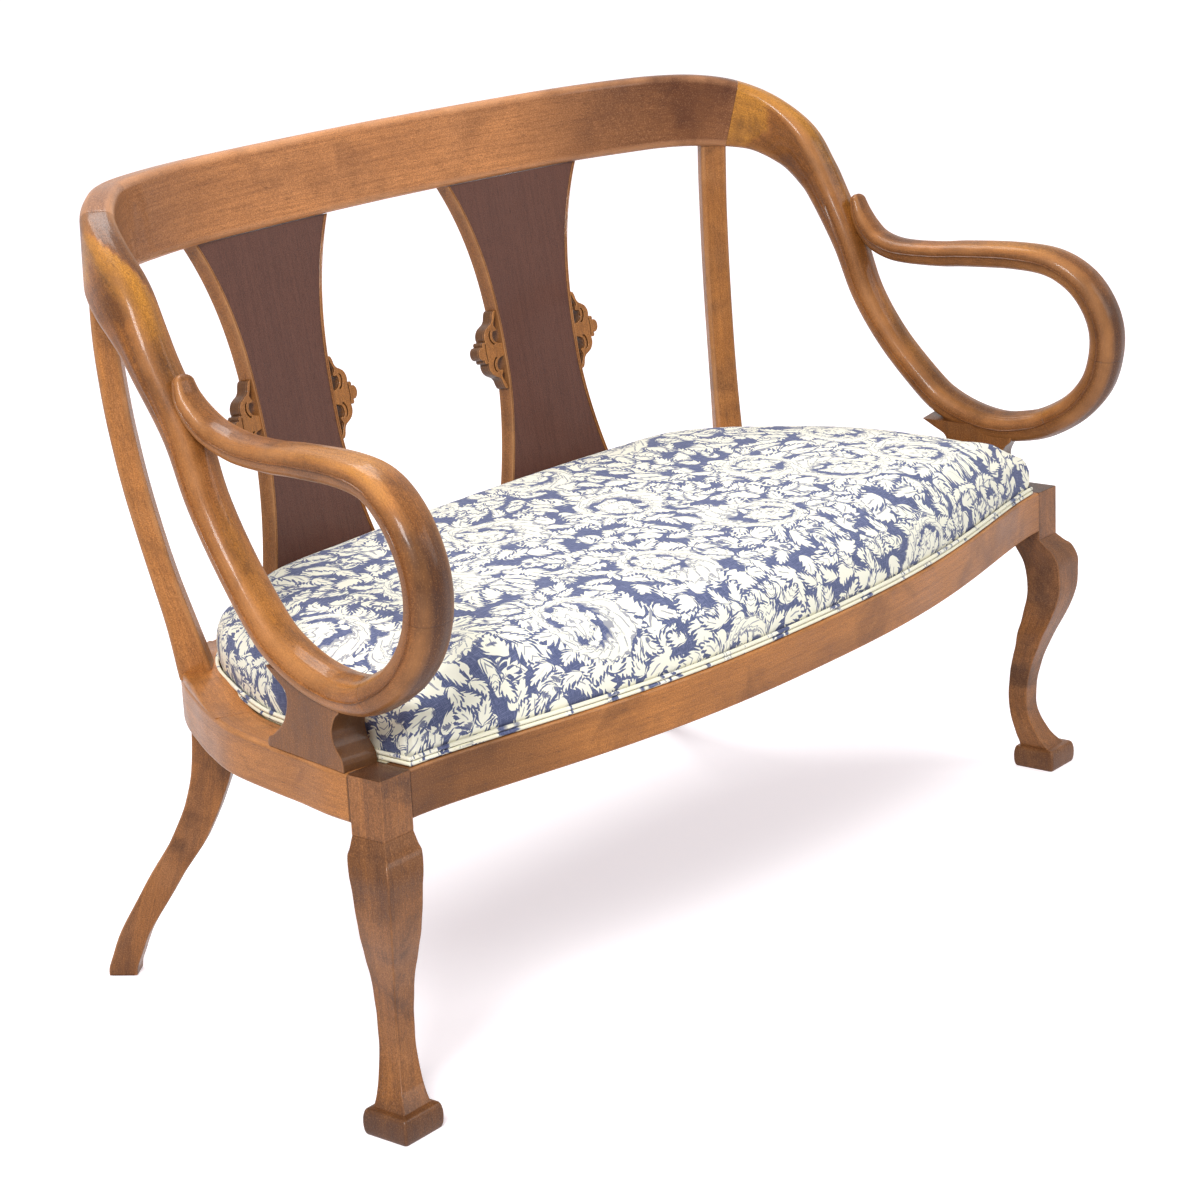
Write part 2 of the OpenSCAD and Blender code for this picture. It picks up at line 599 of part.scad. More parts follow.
module crest_rail() {
  color(wood) seated() {
    right = [for (i = [0:corner_row * ring_steps]) station_ring(i, 0)];
    left = [for (i = [corner_row * ring_steps:-1:1])
      [for (p = station_ring(i, 0)) [-p[0], p[1], p[2]]]];
    skin(concat(left, right));
  }
}
module crest_corner(side) { color(wood) on_side(side) bent_bar(corner_row, sweep_row); }
module arm_sweep(side) { color(wood) on_side(side) bent_bar(sweep_row, bow_row); }
module arm_bow_lower(side) { color(wood) on_side(side) bent_bar(bow_row, bow_joint_row); }
module arm_bow_upper(side) { color(wood) on_side(side) bent_bar(bow_joint_row, tip_row); }
module arm_tip(side) {
  color(wood) on_side(side) difference() {
    bent_bar(tip_row, last_row);
    bent_bar(tip_seat_rows[0], tip_seat_rows[1], fit);
  }
}
module arm_saddle(side) {
  color(wood) on_side(side) difference() {
    translate([half_w, block, seat_h]) rotate([0, 0, saddle_turn])
      rotate([90, 0, -90]) mirror([1, 0, 0]) linear_extrude(saddle_w) saddle_profile();
    bent_bar(saddle_rows[0], saddle_rows[1], fit);
    saddle_dowels(fit);
  }
}
module rear_post(side) {
  color(wood) on_side(side) difference() {
    skin([for (s = post_shares) post_ring(s)]);
    bent_bar(corner_row, sweep_row + 1, fit);
    post_dowel(fit);
  }
}
module rear_leg(side) {
  color(wood) on_side(side) difference() {
    skin([for (s = rear_leg_shares) rear_leg_ring(s)]);
    leg_dowel(fit);
  }
}
module front_leg(side) {
  color(wood) on_side(side) difference() {
    union() {
      translate([rail_end, 0, block_z]) cube([block, block, seat_h - block_z]);
      skin(leg_rings);
    }
    front_dowels(fit);
    side_dowels(fit);
  }
}
module front_rail() {
  color(wood) seated() difference() {
    translate([0, 0, rail_z]) linear_extrude(rail_h) front_rail_plan();
    both_sides() front_dowels(fit);
  }
}
module side_rail(side) {
  color(wood) on_side(side) difference() {
    translate([0, 0, rail_z]) linear_extrude(rail_h) side_rail_plan();
    side_dowels(fit);
    back_dowels(fit);
    leg_dowel(fit);
    post_dowel(fit);
    saddle_dowels(fit);
  }
}
module back_rail() {
  color(wood) seated() difference() {
    translate([0, 0, rail_z]) linear_extrude(rail_h) back_rail_plan();
    both_sides() back_dowels(fit);
  }
}
module splat(side) {
  color(wood) on_side(side) above_rail() on_splat() difference() {
    linear_extrude(splat_t) splat_plan();
    translate([0, 0, splat_t - panel_recess]) linear_extrude(panel_recess + over)
      intersection() {
        splat_plan(splat_edge);
        translate([-half_w, -frame_d]) square([frame_w, frame_w]);
      }
  }
}
module splat_panel(side) {
  color(dark_wood) on_side(side) above_rail() on_splat()
    translate([0, 0, splat_t - panel_recess]) linear_extrude(panel_t) splat_plan(splat_edge + fit);
}
module ornament(side, inner) {
  color(wood) on_side(side) on_splat() mirror([inner, 0, 0]) {
    translate([0, 0, (splat_t - ornament_t) / 2]) linear_extrude(ornament_t) ornament_plan();
    for (s = boss_shares)
      translate([splat_waist_w / 2 + ornament_out * s[0], splat_l * ornament_low_share + ornament_h * s[1], splat_t / 2])
        cylinder(d = ornament_out * boss_d_share, h = splat_t / 2, $fn = 16);
  }
}
module corner_block_front(side) {
  color(inner_wood) on_side(side) difference() {
    translate([0, 0, rail_z]) linear_extrude(ledge_z - rail_z) front_block_plan();
    screw_holes();
  }
}
module corner_block_rear(side) {
  color(inner_wood) on_side(side) difference() {
    translate([0, 0, rail_z]) linear_extrude(ledge_z - rail_z) rear_block_plan();
    screw_holes();
  }
}
module cross_rail(side) {
  color(inner_wood) on_side(side)
    translate([0, 0, rail_z]) linear_extrude(ledge_z - rail_z) cross_rail_plan();
}
module slip_bar(part) {
  color(inner_wood) seated() difference() {
    translate([0, 0, slip_z]) linear_extrude(slip_t) {
      if (part == "front") slip_front_plan();
      if (part == "back") slip_back_plan();
      if (part == "right") slip_side_plan();
      if (part == "left") mirror([1, 0, 0]) slip_side_plan();
      if (part == "middle") slip_middle_plan();
    }
    both_sides() screw_holes();
  }
}
module webbing_long() {
  color("#9b8a6a") seated()
    for (s = long_strap_shares)
      translate([0, 0, slip_top + strap_t]) linear_extrude(strap_t) intersection() {
        translate([-half_w, mix(0, frame_d - rim_t, s) - strap_w / 2]) square([frame_w, strap_w]);
        slip_plan();
      }
}
module webbing_cross() {
  color("#8d7c5c") seated()
    for (s = cross_strap_shares)
      translate([0, 0, slip_top]) linear_extrude(strap_t) intersection() {
        translate([rail_end * s - strap_w / 2, -front_bow]) square([strap_w, frame_d + front_bow]);
        slip_plan();
      }
}
module seat_deck() {
  color("#c9bb98") seated() translate([0, 0, seat_h - cloth_t]) linear_extrude(cloth_t) slip_plan();
}
module seat_cushion() {
  low = [0, cushion_mid_y, seat_h + fit];
  high = [0, cushion_mid_y, seat_h + seat_crown];
  color("#c8c6bd") seated() domed_skin(cushion_rings, low, high);
}
module dust_cover() {
  color("#2e2d2b") seated() difference() {
    translate([0, 0, ledge_z]) linear_extrude(cloth_t) slip_plan();
    both_sides() screw_holes();
  }
}
module seat_screws() {
  color("#8f8c85") seated() both_sides()
    for (p = seat_screw_places()) translate([p[0], p[1], rail_z]) cylinder(d = screw_d, h = screw_l, $fn = 16);
}
module frame_dowels() {
  color("#cfa974") seated() both_sides() {
    front_dowels();
    side_dowels();
    back_dowels();
  }
}
module upright_dowels() {
  color("#cfa974") seated() both_sides() {
    leg_dowel();
    post_dowel();
    saddle_dowels();
  }
}

crest_rail();
crest_corner(-1);  // crest_corner_left
crest_corner(1);  // crest_corner_right
arm_sweep(-1);  // arm_sweep_left
arm_sweep(1);  // arm_sweep_right
arm_bow_lower(-1);  // arm_bow_lower_left
arm_bow_lower(1);  // arm_bow_lower_right
arm_bow_upper(-1);  // arm_bow_upper_left
arm_bow_upper(1);  // arm_bow_upper_right
arm_tip(-1);  // arm_tip_left
arm_tip(1);  // arm_tip_right
arm_saddle(-1);  // arm_saddle_left
arm_saddle(1);  // arm_saddle_right
rear_post(-1);  // rear_post_left
rear_post(1);  // rear_post_right
rear_leg(-1);  // rear_leg_left
rear_leg(1);  // rear_leg_right
front_leg(-1);  // front_leg_left
front_leg(1);  // front_leg_right
front_rail();
side_rail(-1);  // side_rail_left
side_rail(1);  // side_rail_right
back_rail();
splat(-1);  // splat_left
splat(1);  // splat_right
splat_panel(-1);  // splat_panel_left
splat_panel(1);  // splat_panel_right
ornament(-1, 0);  // ornament_left_outer
ornament(-1, 1);  // ornament_left_inner
ornament(1, 1);  // ornament_right_inner
ornament(1, 0);  // ornament_right_outer
corner_block_front(-1);  // corner_block_front_left
corner_block_front(1);  // corner_block_front_right
corner_block_rear(-1);  // corner_block_rear_left
corner_block_rear(1);  // corner_block_rear_right
cross_rail(-1);  // cross_rail_left
cross_rail(1);  // cross_rail_right
slip_bar("front");  // slip_bar_front
slip_bar("back");  // slip_bar_back
slip_bar("left");  // slip_bar_left
slip_bar("right");  // slip_bar_right
slip_bar("middle");  // slip_bar_middle
webbing_long();
webbing_cross();
seat_deck();
seat_cushion();
dust_cover();
seat_screws();
frame_dowels();
upright_dowels();
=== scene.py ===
import math

import bpy
import numpy as np
from mathutils import Matrix, Vector


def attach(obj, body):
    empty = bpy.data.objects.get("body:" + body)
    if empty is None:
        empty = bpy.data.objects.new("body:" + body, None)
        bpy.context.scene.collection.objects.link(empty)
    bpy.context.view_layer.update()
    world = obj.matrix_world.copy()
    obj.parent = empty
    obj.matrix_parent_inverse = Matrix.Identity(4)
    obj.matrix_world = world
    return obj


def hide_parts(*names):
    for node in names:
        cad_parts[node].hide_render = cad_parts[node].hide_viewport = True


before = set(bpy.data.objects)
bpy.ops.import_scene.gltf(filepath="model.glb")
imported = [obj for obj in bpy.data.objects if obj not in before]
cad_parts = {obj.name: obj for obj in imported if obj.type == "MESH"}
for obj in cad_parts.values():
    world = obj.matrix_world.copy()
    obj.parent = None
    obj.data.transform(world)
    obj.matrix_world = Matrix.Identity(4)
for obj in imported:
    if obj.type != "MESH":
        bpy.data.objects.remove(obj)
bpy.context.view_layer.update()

MM = 0.001

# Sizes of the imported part, in millimetres, with y at 0 on the front of the leg blocks
FRAME_W, FRAME_D, SEAT_H, FRONT_BOW, RAIL_H, FRONT_RAIL_T, RIM_T = 1256, 488, 366, 72, 50, 30, 42
BLOCK, BLOCK_DROP, KNEE_OUT, FOOT, FOOT_OUT = 42, 11, 24.7, 53, 13
REAR_LEG_T, REAR_LEG_TOP, REAR_LEG_FOOT, REAR_LEG_OUT, REAR_TURN = 29, 50, 32, 126, math.radians(33)
BACK_H, CREST_H, CREST_T, LEAN = 878, 91, 32, math.radians(8.4)
POST_T, POST_W, POST_BOW, POST_TURN = 26, 33, 16, math.radians(40)
SPLAT_X, SPLAT_TOP_W, SPLAT_WAIST_W, SPLAT_FOOT_W, SPLAT_T = 211, 224, 128, 222, 20
SPLAT_LEAN, SPLAT_EDGE, ORNAMENT_H = math.radians(9), 5, 95
ARM_INSET, ARM_OUT, CREST_REACH, ARM_FALL = 42, 39, 183, 56
ARM_OVER, ARM_LOW, ARM_W, ARM_T = 73, 75, 55, 38
SADDLE_W, SADDLE_L = 40, 128
SEAT_CROWN, SEAT_SIDE, SEAT_INSET, SEAT_BACK_INSET, FIT = 82, 62, 47, 39, 0.3

HALF_W = FRAME_W / 2
RAIL_END = HALF_W - BLOCK
RAIL_Z = SEAT_H - RAIL_H
BLOCK_Z = RAIL_Z - BLOCK_DROP
CREST_R = CREST_T * 0.3
CREST_Z = BACK_H - CREST_R - (CREST_H / 2 - CREST_R) * math.cos(LEAN) - (CREST_T / 2 - CREST_R) * math.sin(LEAN)
CREST_Y = FRAME_D - RIM_T / 2 + (CREST_Z - SEAT_H) * math.tan(LEAN)
CREST_BACK = CREST_R + (CREST_T / 2 - CREST_R) * math.cos(LEAN) + (CREST_H / 2 - CREST_R) * math.sin(LEAN)
ARM_X = HALF_W - ARM_INSET
ARM_ROOT = CREST_Y - CREST_REACH
ARM_FOOT_Z = SEAT_H + ARM_LOW
ARM_RISE = CREST_Z - ARM_FALL - ARM_FOOT_Z
Y_MID = (CREST_Y + CREST_BACK - ARM_OVER - ARM_T / 2) / 2

# Shares along the top rail: sideways, forward, down, growth in width, growth in thickness, turn
CREST_ROWS = [
    (0, 0, 0, 0, 0, 0), (0.18, 0.015, 0, 0, 0, 0.01), (0.375, 0.05, 0, 0, 0, 0.03), (0.552, 0.107, 0, 0, 0, 0.08),
    (0.694, 0.215, 0, 0.02, 0, 0.14), (0.791, 0.34, 0, 0.05, 0.02, 0.24), (0.859, 0.49, 0.04, 0.09, 0.05, 0.38),
    (0.918, 0.645, 0.16, 0.18, 0.14, 0.56), (0.96, 0.832, 0.41, 0.4, 0.32, 0.78), (0.986, 1.038, 0.88, 0.7, 0.48, 1)]
# Shares along an arm: forward, up, outward, width, thickness
ARM_ROWS = [
    (0.079, 0.922, -0.08, 0.94, 1.4), (0.119, 0.839, -0.04, 0.95, 1.21), (0.195, 0.661, -0.08, 0.94, 1.05),
    (0.253, 0.471, -0.04, 0.91, 0.95), (0.336, 0.3, 0.06, 0.9, 0.91), (0.443, 0.14, 0.24, 0.92, 0.92),
    (0.506, 0.074, 0.31, 0.94, 0.94), (0.589, 0.025, 0.4, 0.96, 0.96), (0.679, 0, 0.5, 0.98, 0.98),
    (0.762, 0.006, 0.7, 1, 1), (0.827, 0.03, 0.86, 1, 1), (0.908, 0.093, 0.94, 1, 1), (0.968, 0.183, 1, 1, 1),
    (0.996, 0.285, 1, 1, 1), (0.998, 0.387, 1, 1, 1), (0.972, 0.483, 0.95, 1, 0.98), (0.922, 0.567, 0.84, 1, 0.94),
    (0.847, 0.625, 0.65, 0.97, 0.9), (0.741, 0.645, 0.44, 0.93, 0.88), (0.589, 0.643, 0.24, 0.89, 0.85),
    (0.505, 0.637, 0.12, 0.86, 0.82), (0.407, 0.639, 0, 0.83, 0.78), (0.347, 0.65, -0.07, 0.8, 0.75),
    (0.291, 0.678, -0.05, 0.76, 0.7), (0.253, 0.721, 0.02, 0.7, 0.64), (0.228, 0.768, 0.07, 0.62, 0.52),
    (0.217, 0.812, 0.07, 0.5, 0.38)]
CORNER_ROW, SWEEP_ROW, BOW_ROW, BOW_JOINT_ROW, TIP_ROW, LAST_ROW = 5, 7, 20, 23, 29, 36
RIM_SHARES = [(0.993, 0.16), (0.977, 0.25), (0.963, 0.345), (0.936, 0.494), (0.893, 0.613), (0.851, 0.706),
              (0.809, 0.79), (0.759, 0.865), (0.695, 0.928), (0.617, 0.962), (0.53, 0.975), (0.36, 0.988),
              (0.18, 0.997), (0, 1)]


def mix(a, b, t):
    return a + (b - a) * t


def ease(t):
    t = np.clip(t, 0, 1)
    return t * t * (3 - 2 * t)


def unit(v):
    v = np.asarray(v, float)
    return v / np.maximum(np.linalg.norm(v, axis=-1, keepdims=True), 1e-12)


def smooth(rows, steps):
    """Smooth curve through the rows of a table, with the given number of steps between rows."""
    p = np.asarray(rows, float)
    n = len(p)
    t = (np.arange(steps) / steps)[:, None]
    out = []
    for i in range(n - 1):
        a, b, c, d = p[max(i - 1, 0)], p[i], p[i + 1], p[min(i + 2, n - 1)]
        out.append((2 * b + (c - a) * t + (2 * a - 5 * b + 4 * c - d) * t ** 2 + (3 * b - a - 3 * c + d) * t ** 3) / 2)
    return np.concatenate(out + [p[-1:]])


def lengths(points):
    """Distance travelled along a line of points."""
    p = np.asarray(points, float)
    return np.concatenate([[0], np.cumsum(np.linalg.norm(np.diff(p, axis=0), axis=1))])


# Skins

# Columns of a skin's data: place in the wood, wear with painted highlight, dark joint lines with painted shade, and
# painted light and shade
GRAIN, EDGE, DARK, TONE = slice(0, 3), 3, 4, 5
OTHER_WOOD = (331, 57, 23)  # how far off in the wood a mirrored piece is cut


class Skin:
    """Points in millimetres, faces, and for each point its place in the wood, its wear with painted highlight, its
    darkness at joints with painted shade, and its tone: painted shade above 0 and painted golden light below, and on
    some pieces a plain darker tone.
    """

    def __init__(self, verts, faces, data):
        self.verts, self.faces, self.data = verts, faces, data

    def plus(self, other):
        faces = self.faces + [[k + len(self.verts) for k in q] for q in other.faces]
        return Skin(np.concatenate([self.verts, other.verts]), faces, np.concatenate([self.data, other.data]))

    def mirrored(self):
        return Skin(self.verts * (-1, 1, 1), [q[::-1] for q in self.faces], self.data + (*OTHER_WOOD, 0, 0, 0))

    def mesh(self, name, angle=32):
        me = bpy.data.meshes.new(name)
        me.from_pydata(((self.verts + (0, -Y_MID, 0)) * MM).tolist(), [], [list(map(int, q)) for q in self.faces])
        add_field(me, "grain", self.data[:, GRAIN] * MM)
        for key, column in (("edge", EDGE), ("dark", DARK), ("tone", TONE)):
            me.attributes.new(key, "FLOAT", "POINT").data.foreach_set("value", self.data[:, column].astype(np.float32))
        me.shade_smooth()
        me.set_sharp_from_angle(angle=math.radians(angle))
        ob = bpy.data.objects.new(name, me)
        bpy.context.scene.collection.objects.link(ob)
        return ob


def add_field(me, name, vectors):
    """Give each point of a mesh a vector, in metres."""
    me.attributes.new(name, "FLOAT_VECTOR", "POINT").data.foreach_set("vector", vectors.astype(np.float32).ravel())


def fields(shape, grain, *masks):
    """Grain and masks of a grid of points, side by side."""
    return np.concatenate([np.broadcast_to(grain, (*shape, 3))] + [np.broadcast_to(v, shape)[..., None] for v in masks], -1)


def loft(rings, grain=0, edge=0, dark=0, tone=0, caps=(True, True), data=None):
    """Skin over rings whose points run anticlockwise seen against the way from ring to ring."""
    rings = np.asarray(rings, float)
    m, n = rings.shape[:2]
    data = fields((m, n), grain, edge, dark, tone) if data is None else data
    i, j = np.meshgrid(np.arange(m - 1), np.arange(n), indexing="ij")
    a, b = i * n + j, i * n + (j + 1) % n
    faces = np.stack([a, a + n, b + n, b], -1).reshape(-1, 4).tolist()
    verts, rows = [rings.reshape(-1, 3)], [data.reshape(-1, 6)]
    for row, cap in zip((0, m - 1), caps):
        if cap:
            k = np.arange(n)
            ring, after, mid = row * n + k, row * n + (k + 1) % n, np.full(n, m * n + len(verts) - 1)
            faces += np.stack([ring, after, mid] if row == 0 else [after, ring, mid], -1).tolist()
            verts.append(rings[row].mean(0)[None])
            middle = data[row].mean(0)
            middle[EDGE], middle[DARK] = 0, data[row, :, DARK].max()
            rows.append(middle[None])
    return Skin(np.concatenate(verts), faces, np.concatenate(rows))


# Eased end of a piece at a joint: distance from the end, how far it is drawn in, and its darkness
JOINT_STEPS = ((0.0, 0.7, 1.0), (0.35, 0.2, 0.7), (0.9, 0.0, 0.1), (2.4, 0.0, 0.0))


def jointed_loft(rings, grain, edge=0, ends=(1, 1), tone=0):
    """Loft whose ends are eased a little, so that a joint shows as a fine dark line as strong as its number in ends."""
    rings = np.asarray(rings, float)
    data = fields(rings.shape[:2], grain, edge, 0, tone)
    for at_end, strength in enumerate(ends):
        if not strength:
            continue
        if at_end:
            rings, data = rings[::-1], data[::-1]
        step = np.linalg.norm(rings[1].mean(0) - rings[0].mean(0))
        eased, eased_data = [], []
        for far, shrink, shade in JOINT_STEPS:
            t = min(far / step, 0.95)
            ring, row = mix(rings[0], rings[1], t), data[0].copy()
            eased.append(ring - unit(ring - ring.mean(0)) * shrink * strength)
            row[:, GRAIN] = mix(data[0, :, GRAIN], data[1, :, GRAIN], t)
            row[:, DARK] = shade * strength
            eased_data.append(row)
        kept = int(JOINT_STEPS[-1][0] / step) + 1
        rings, data = np.concatenate([eased, rings[kept:]]), np.concatenate([eased_data, data[kept:]])
        if at_end:
            rings, data = rings[::-1], data[::-1]
    return loft(rings, data=data)


def section(w, h, r, arc=6, side=4, swell=0.0):
    """Rounded rectangle with slightly swelling sides: points, and a mask of its corners."""
    pts, mask = [], []
    for q in range(4):
        (x, y), (next_x, next_y) = (((1 if p in (0, 3) else -1) * (w / 2 - swell - r),
                                     (1 if p < 2 else -1) * (h / 2 - swell - r)) for p in (q, (q + 1) % 4))
        for k in range(arc + 1):
            a = math.radians(90 * (q + k / arc))
            pts.append((x + r * math.cos(a), y + r * math.sin(a)))
            mask.append(math.sin(math.pi * k / arc))
        begin, end = pts[-1], (next_x + r * math.cos(a), next_y + r * math.sin(a))
        for k in range(1, side):
            t = k / side
            pts.append((mix(begin[0], end[0], t) + swell * math.cos(a) * 4 * t * (1 - t),
                        mix(begin[1], end[1], t) + swell * math.sin(a) * 4 * t * (1 - t)))
            mask.append(0.0)
    return np.array(pts), np.array(mask)


# The bent bar: top rail and arms

FINE, PART_STEPS = 12, 3  # steps between rows here and in the part


def crest_row(s):
    return [ARM_X * s[0], CREST_Y - CREST_REACH * s[1], CREST_Z - ARM_FALL * s[2], mix(CREST_T, ARM_W, s[3]),
            mix(CREST_H, ARM_T, s[4]), 90 * s[5], mix(CREST_R, ARM_T * 0.42, s[3])]


def arm_row(s):
    return [ARM_X + ARM_OUT * s[2], ARM_ROOT - (ARM_ROOT + ARM_OVER) * s[0], ARM_FOOT_Z + ARM_RISE * s[1], ARM_W * s[3],
            ARM_T * s[4], 90, ARM_T * min(s[4], 1) * 0.42]


# Places along the bar: x, y, z, width, thickness, turn in degrees, radius of the arrises
STATIONS = smooth([crest_row(s) for s in CREST_ROWS] + [arm_row(s) for s in ARM_ROWS], FINE)
PLACES = STATIONS[:, :3]
WAYS = np.empty_like(PLACES)
WAYS[1:-1] = unit(PLACES[2:] - PLACES[:-2])
WAYS[0] = (1, 0, 0)
WAYS[-1] = unit(PLACES[-1] - PLACES[-2])
RUN = lengths(PLACES)


def facing(i):
    """Way that the inner face of the bar looks."""
    a = math.radians(STATIONS[i][5])
    tilt = LEAN * max(0, 1 - a / math.radians(45))
    s = np.array([-math.sin(a), -math.cos(a) * math.cos(tilt), math.cos(a) * math.sin(tilt)])
    return unit(s - (s @ WAYS[i]) * WAYS[i])


# Painted light and shade along the arm: rows, and how golden the painted light on its top or how dark the painted shade
# on its inner side is there
LIT_GOLD_ROWS = ((7, 11, 13, 15, 19, 21, 23, 24.5, 27, 30, 34), (1, 1, 0.7, 0.3, 0.2, 0.7, 0.2, 1, 0.7, 0.0, -0.3))
SHADED_SIDE_ROWS = ((7, 8, 11, 14, 20, 24, 27, 31, 36), (0.3, 0.45, 0.5, 0.3, 0.4, 0.85, 0.8, 0.7, 0.7))
SHADED_FRONT_ROWS = ((18, 20, 22, 28, 31), (0, 0.6, 1, 1, 0))
LIT_WEDGE_ROWS = 1.4  # length of the wedge of painted golden light at the start of the sweep


def painted_bar_shading(row, x, pts, way_out, inward):
    """Painted shade and painted light round a ring of the bar: painted shade is above 0 and painted golden light below.
    """
    # Top rail and its corners: painted shade, growing towards the right end
    if row < SWEEP_ROW + 0.04:
        return ease((x - 150) / 280) * np.ones(len(pts))
    # Painted golden light on faces that look up, and painted shade on the inner sides
    lit = ease((way_out[:, 2] - 0.3) / 0.35)
    tone = mix(mix(0.3, np.interp(row, *SHADED_SIDE_ROWS), inward), -np.interp(row, *LIT_GOLD_ROWS), lit)
    if row < SWEEP_ROW + LIT_WEDGE_ROWS:
        tone = mix(tone, -0.9, ease((SWEEP_ROW + LIT_WEDGE_ROWS - row) * 4 - 4.5 * np.abs(pts[:, 1])))
    # Painted shade on faces that look forward
    front = ease((-way_out[:, 1] - 0.1) / 0.5) * np.interp(row, *SHADED_FRONT_ROWS)
    return np.maximum(tone, mix(tone, 1.0, front * (1 - 0.5 * lit)))


def bar_ring(i):
    w, h, _, r = STATIONS[i][3:]
    f = facing(i)
    u = np.cross(f, WAYS[i])
    swell = 0.05 * min(w, h) * ease((i / FINE - 6) / 4)
    pts, mask = (v[::-1] for v in section(w, h, min(r, 0.48 * min(w, h)), swell=swell))
    share = pts / (w, h)
    way_out = unit(share[:, :1] * f + share[:, 1:] * u)
    tone = painted_bar_shading(i / FINE, PLACES[i][0], share, way_out, ease((way_out @ f + 0.3) / 0.7))
    ring = PLACES[i] + pts[:, :1] * f + pts[:, 1:] * u
    return ring, np.column_stack([np.full(len(pts), RUN[i]), pts]), mask, tone


CAP_RINGS = 5  # rings of the rounded end of an armrest


def bent_bar(row0, row1, left_to_middle=False, end_cap=False, ends=(1, 1)):
    data = [bar_ring(i) for i in range(row0 * FINE, row1 * FINE + 1)]
    rings, grain, edge, tone = (np.array([d[k] for d in data]) for k in range(4))
    if row0 == SWEEP_ROW:
        tone[0] = tone[1]
    if left_to_middle:
        rings, grain = (np.concatenate([v[:0:-1] * (-1, 1, 1), v]) for v in (rings, grain))
        # The left half of the top rail takes half the painted shade of the right half
        edge, tone = (np.concatenate([share * v[:0:-1], v]) for v, share in ((edge, 1), (tone, 0.5)))
    if end_cap:
        last, mid, size = rings[-1], rings[-1].mean(0), STATIONS[row1 * FINE][3] * 0.34
        k = np.arange(1, CAP_RINGS + 1)[:, None, None]
        a = np.radians(90 * k / (CAP_RINGS + 1))
        rings = np.concatenate([rings, mid + (last - mid) * np.cos(a) + WAYS[-1] * size * np.sin(a)])
        grain = np.concatenate([grain, grain[-1] + k * (size * 0.2, 0, 0)])
        edge, tone = (np.concatenate([v, np.repeat(v[-1:], CAP_RINGS, 0)]) for v in (edge, tone))
    return jointed_loft(rings, grain, edge, ends, tone)


# Seat rim

RIM_FINE = 8
RIM = smooth([(HALF_W, BLOCK)] + [(HALF_W * a, FRAME_D * b) for a, b in RIM_SHARES], RIM_FINE)
RIM_SCALE = RIM_FINE // 2  # points here for each one in the part
RIM_JOINT = 22  # row of the joint between the side rail and the back rail
RIM_LAST = len(RIM) - 1
RIM_NORMAL = np.empty_like(RIM)
_way = unit(RIM[2:] - RIM[:-2])
RIM_NORMAL[1:-1] = np.column_stack([-_way[:, 1], _way[:, 0]])
RIM_NORMAL[0] = (-1, 0)
RIM_NORMAL[-1] = (0, -1)


def rim_in(i, d):
    return RIM[i] + RIM_NORMAL[i] * d


def bow_y(x):
    return -FRONT_BOW * np.maximum(0, 1 - (np.abs(x) / RAIL_END) ** 2.5) ** 1.6


def rail_section(w, h, r_top, r_low, r_in, arc=5):
    """Section of a rail: across from its outer face, and up from its underside."""
    pts, mask = [], []
    for sx, sy, r, a0 in ((0, 0, r_low, 180), (1, 0, r_in, 270), (1, 1, r_in, 0), (0, 1, r_top, 90)):
        cx, cy = (w - r if sx else r), (h - r if sy else r)
        for k in range(arc + 1):
            a = math.radians(a0 + 90 * k / arc)
            pts.append((cx + r * math.cos(a), cy + r * math.sin(a)))
            mask.append(math.sin(math.pi * k / arc) ** 2)
    return np.array(pts), np.array(mask)


def plan_bar(outer, across, width, z0, height, radii, ends=(1, 1), tone=0.1):
    """Bar that follows an edge in plan, with rounded arrises."""
    outer, across = np.asarray(outer, float), np.asarray(across, float)
    s = lengths(outer)
    pts, mask = rail_section(width, height, *radii)
    xy = outer[:, None] + across[:, None] * pts[None, :, :1]
    rings = np.concatenate([xy, np.broadcast_to(z0 + pts[:, 1], xy.shape[:2])[..., None]], -1)
    grain = np.concatenate([np.broadcast_to(s[:, None, None], (len(s), len(pts), 1)),
                            np.broadcast_to(pts, (len(s),) + pts.shape)], -1)
    return jointed_loft(rings, grain, mask, ends, np.broadcast_to(np.asarray(tone)[..., None], rings.shape[:2]))


def front_rail():
    x = np.linspace(-RAIL_END, RAIL_END, 121)
    edge = np.column_stack([x, bow_y(x)])
    # Painted shade, growing towards the left end near its leg block
    tone = mix(0.05, 0.9, ease((-x - 300) / 200))
    return plan_bar(edge, np.tile((0.0, 1.0), (len(x), 1)), FRONT_RAIL_T, RAIL_Z, RAIL_H, (3.5, 2.5, 1.0), tone=tone)


def side_rail():
    last = RIM_JOINT * RIM_SCALE
    keep = slice(0, last + 1)
    return plan_bar(RIM[keep], RIM_NORMAL[keep], RIM_T, RAIL_Z, RAIL_H, (5.0, 4.0, 1.0))


def back_rail():
    keep = slice(RIM_JOINT * RIM_SCALE, RIM_LAST + 1)
    outer, normal = RIM[keep], RIM_NORMAL[keep]
    outer = np.concatenate([outer, outer[-2::-1] * (-1, 1)])
    normal = np.concatenate([normal, normal[-2::-1] * (-1, 1)])
    return plan_bar(outer, normal, RIM_T, RAIL_Z, RAIL_H, (5.0, 4.0, 1.0))


# Legs and posts

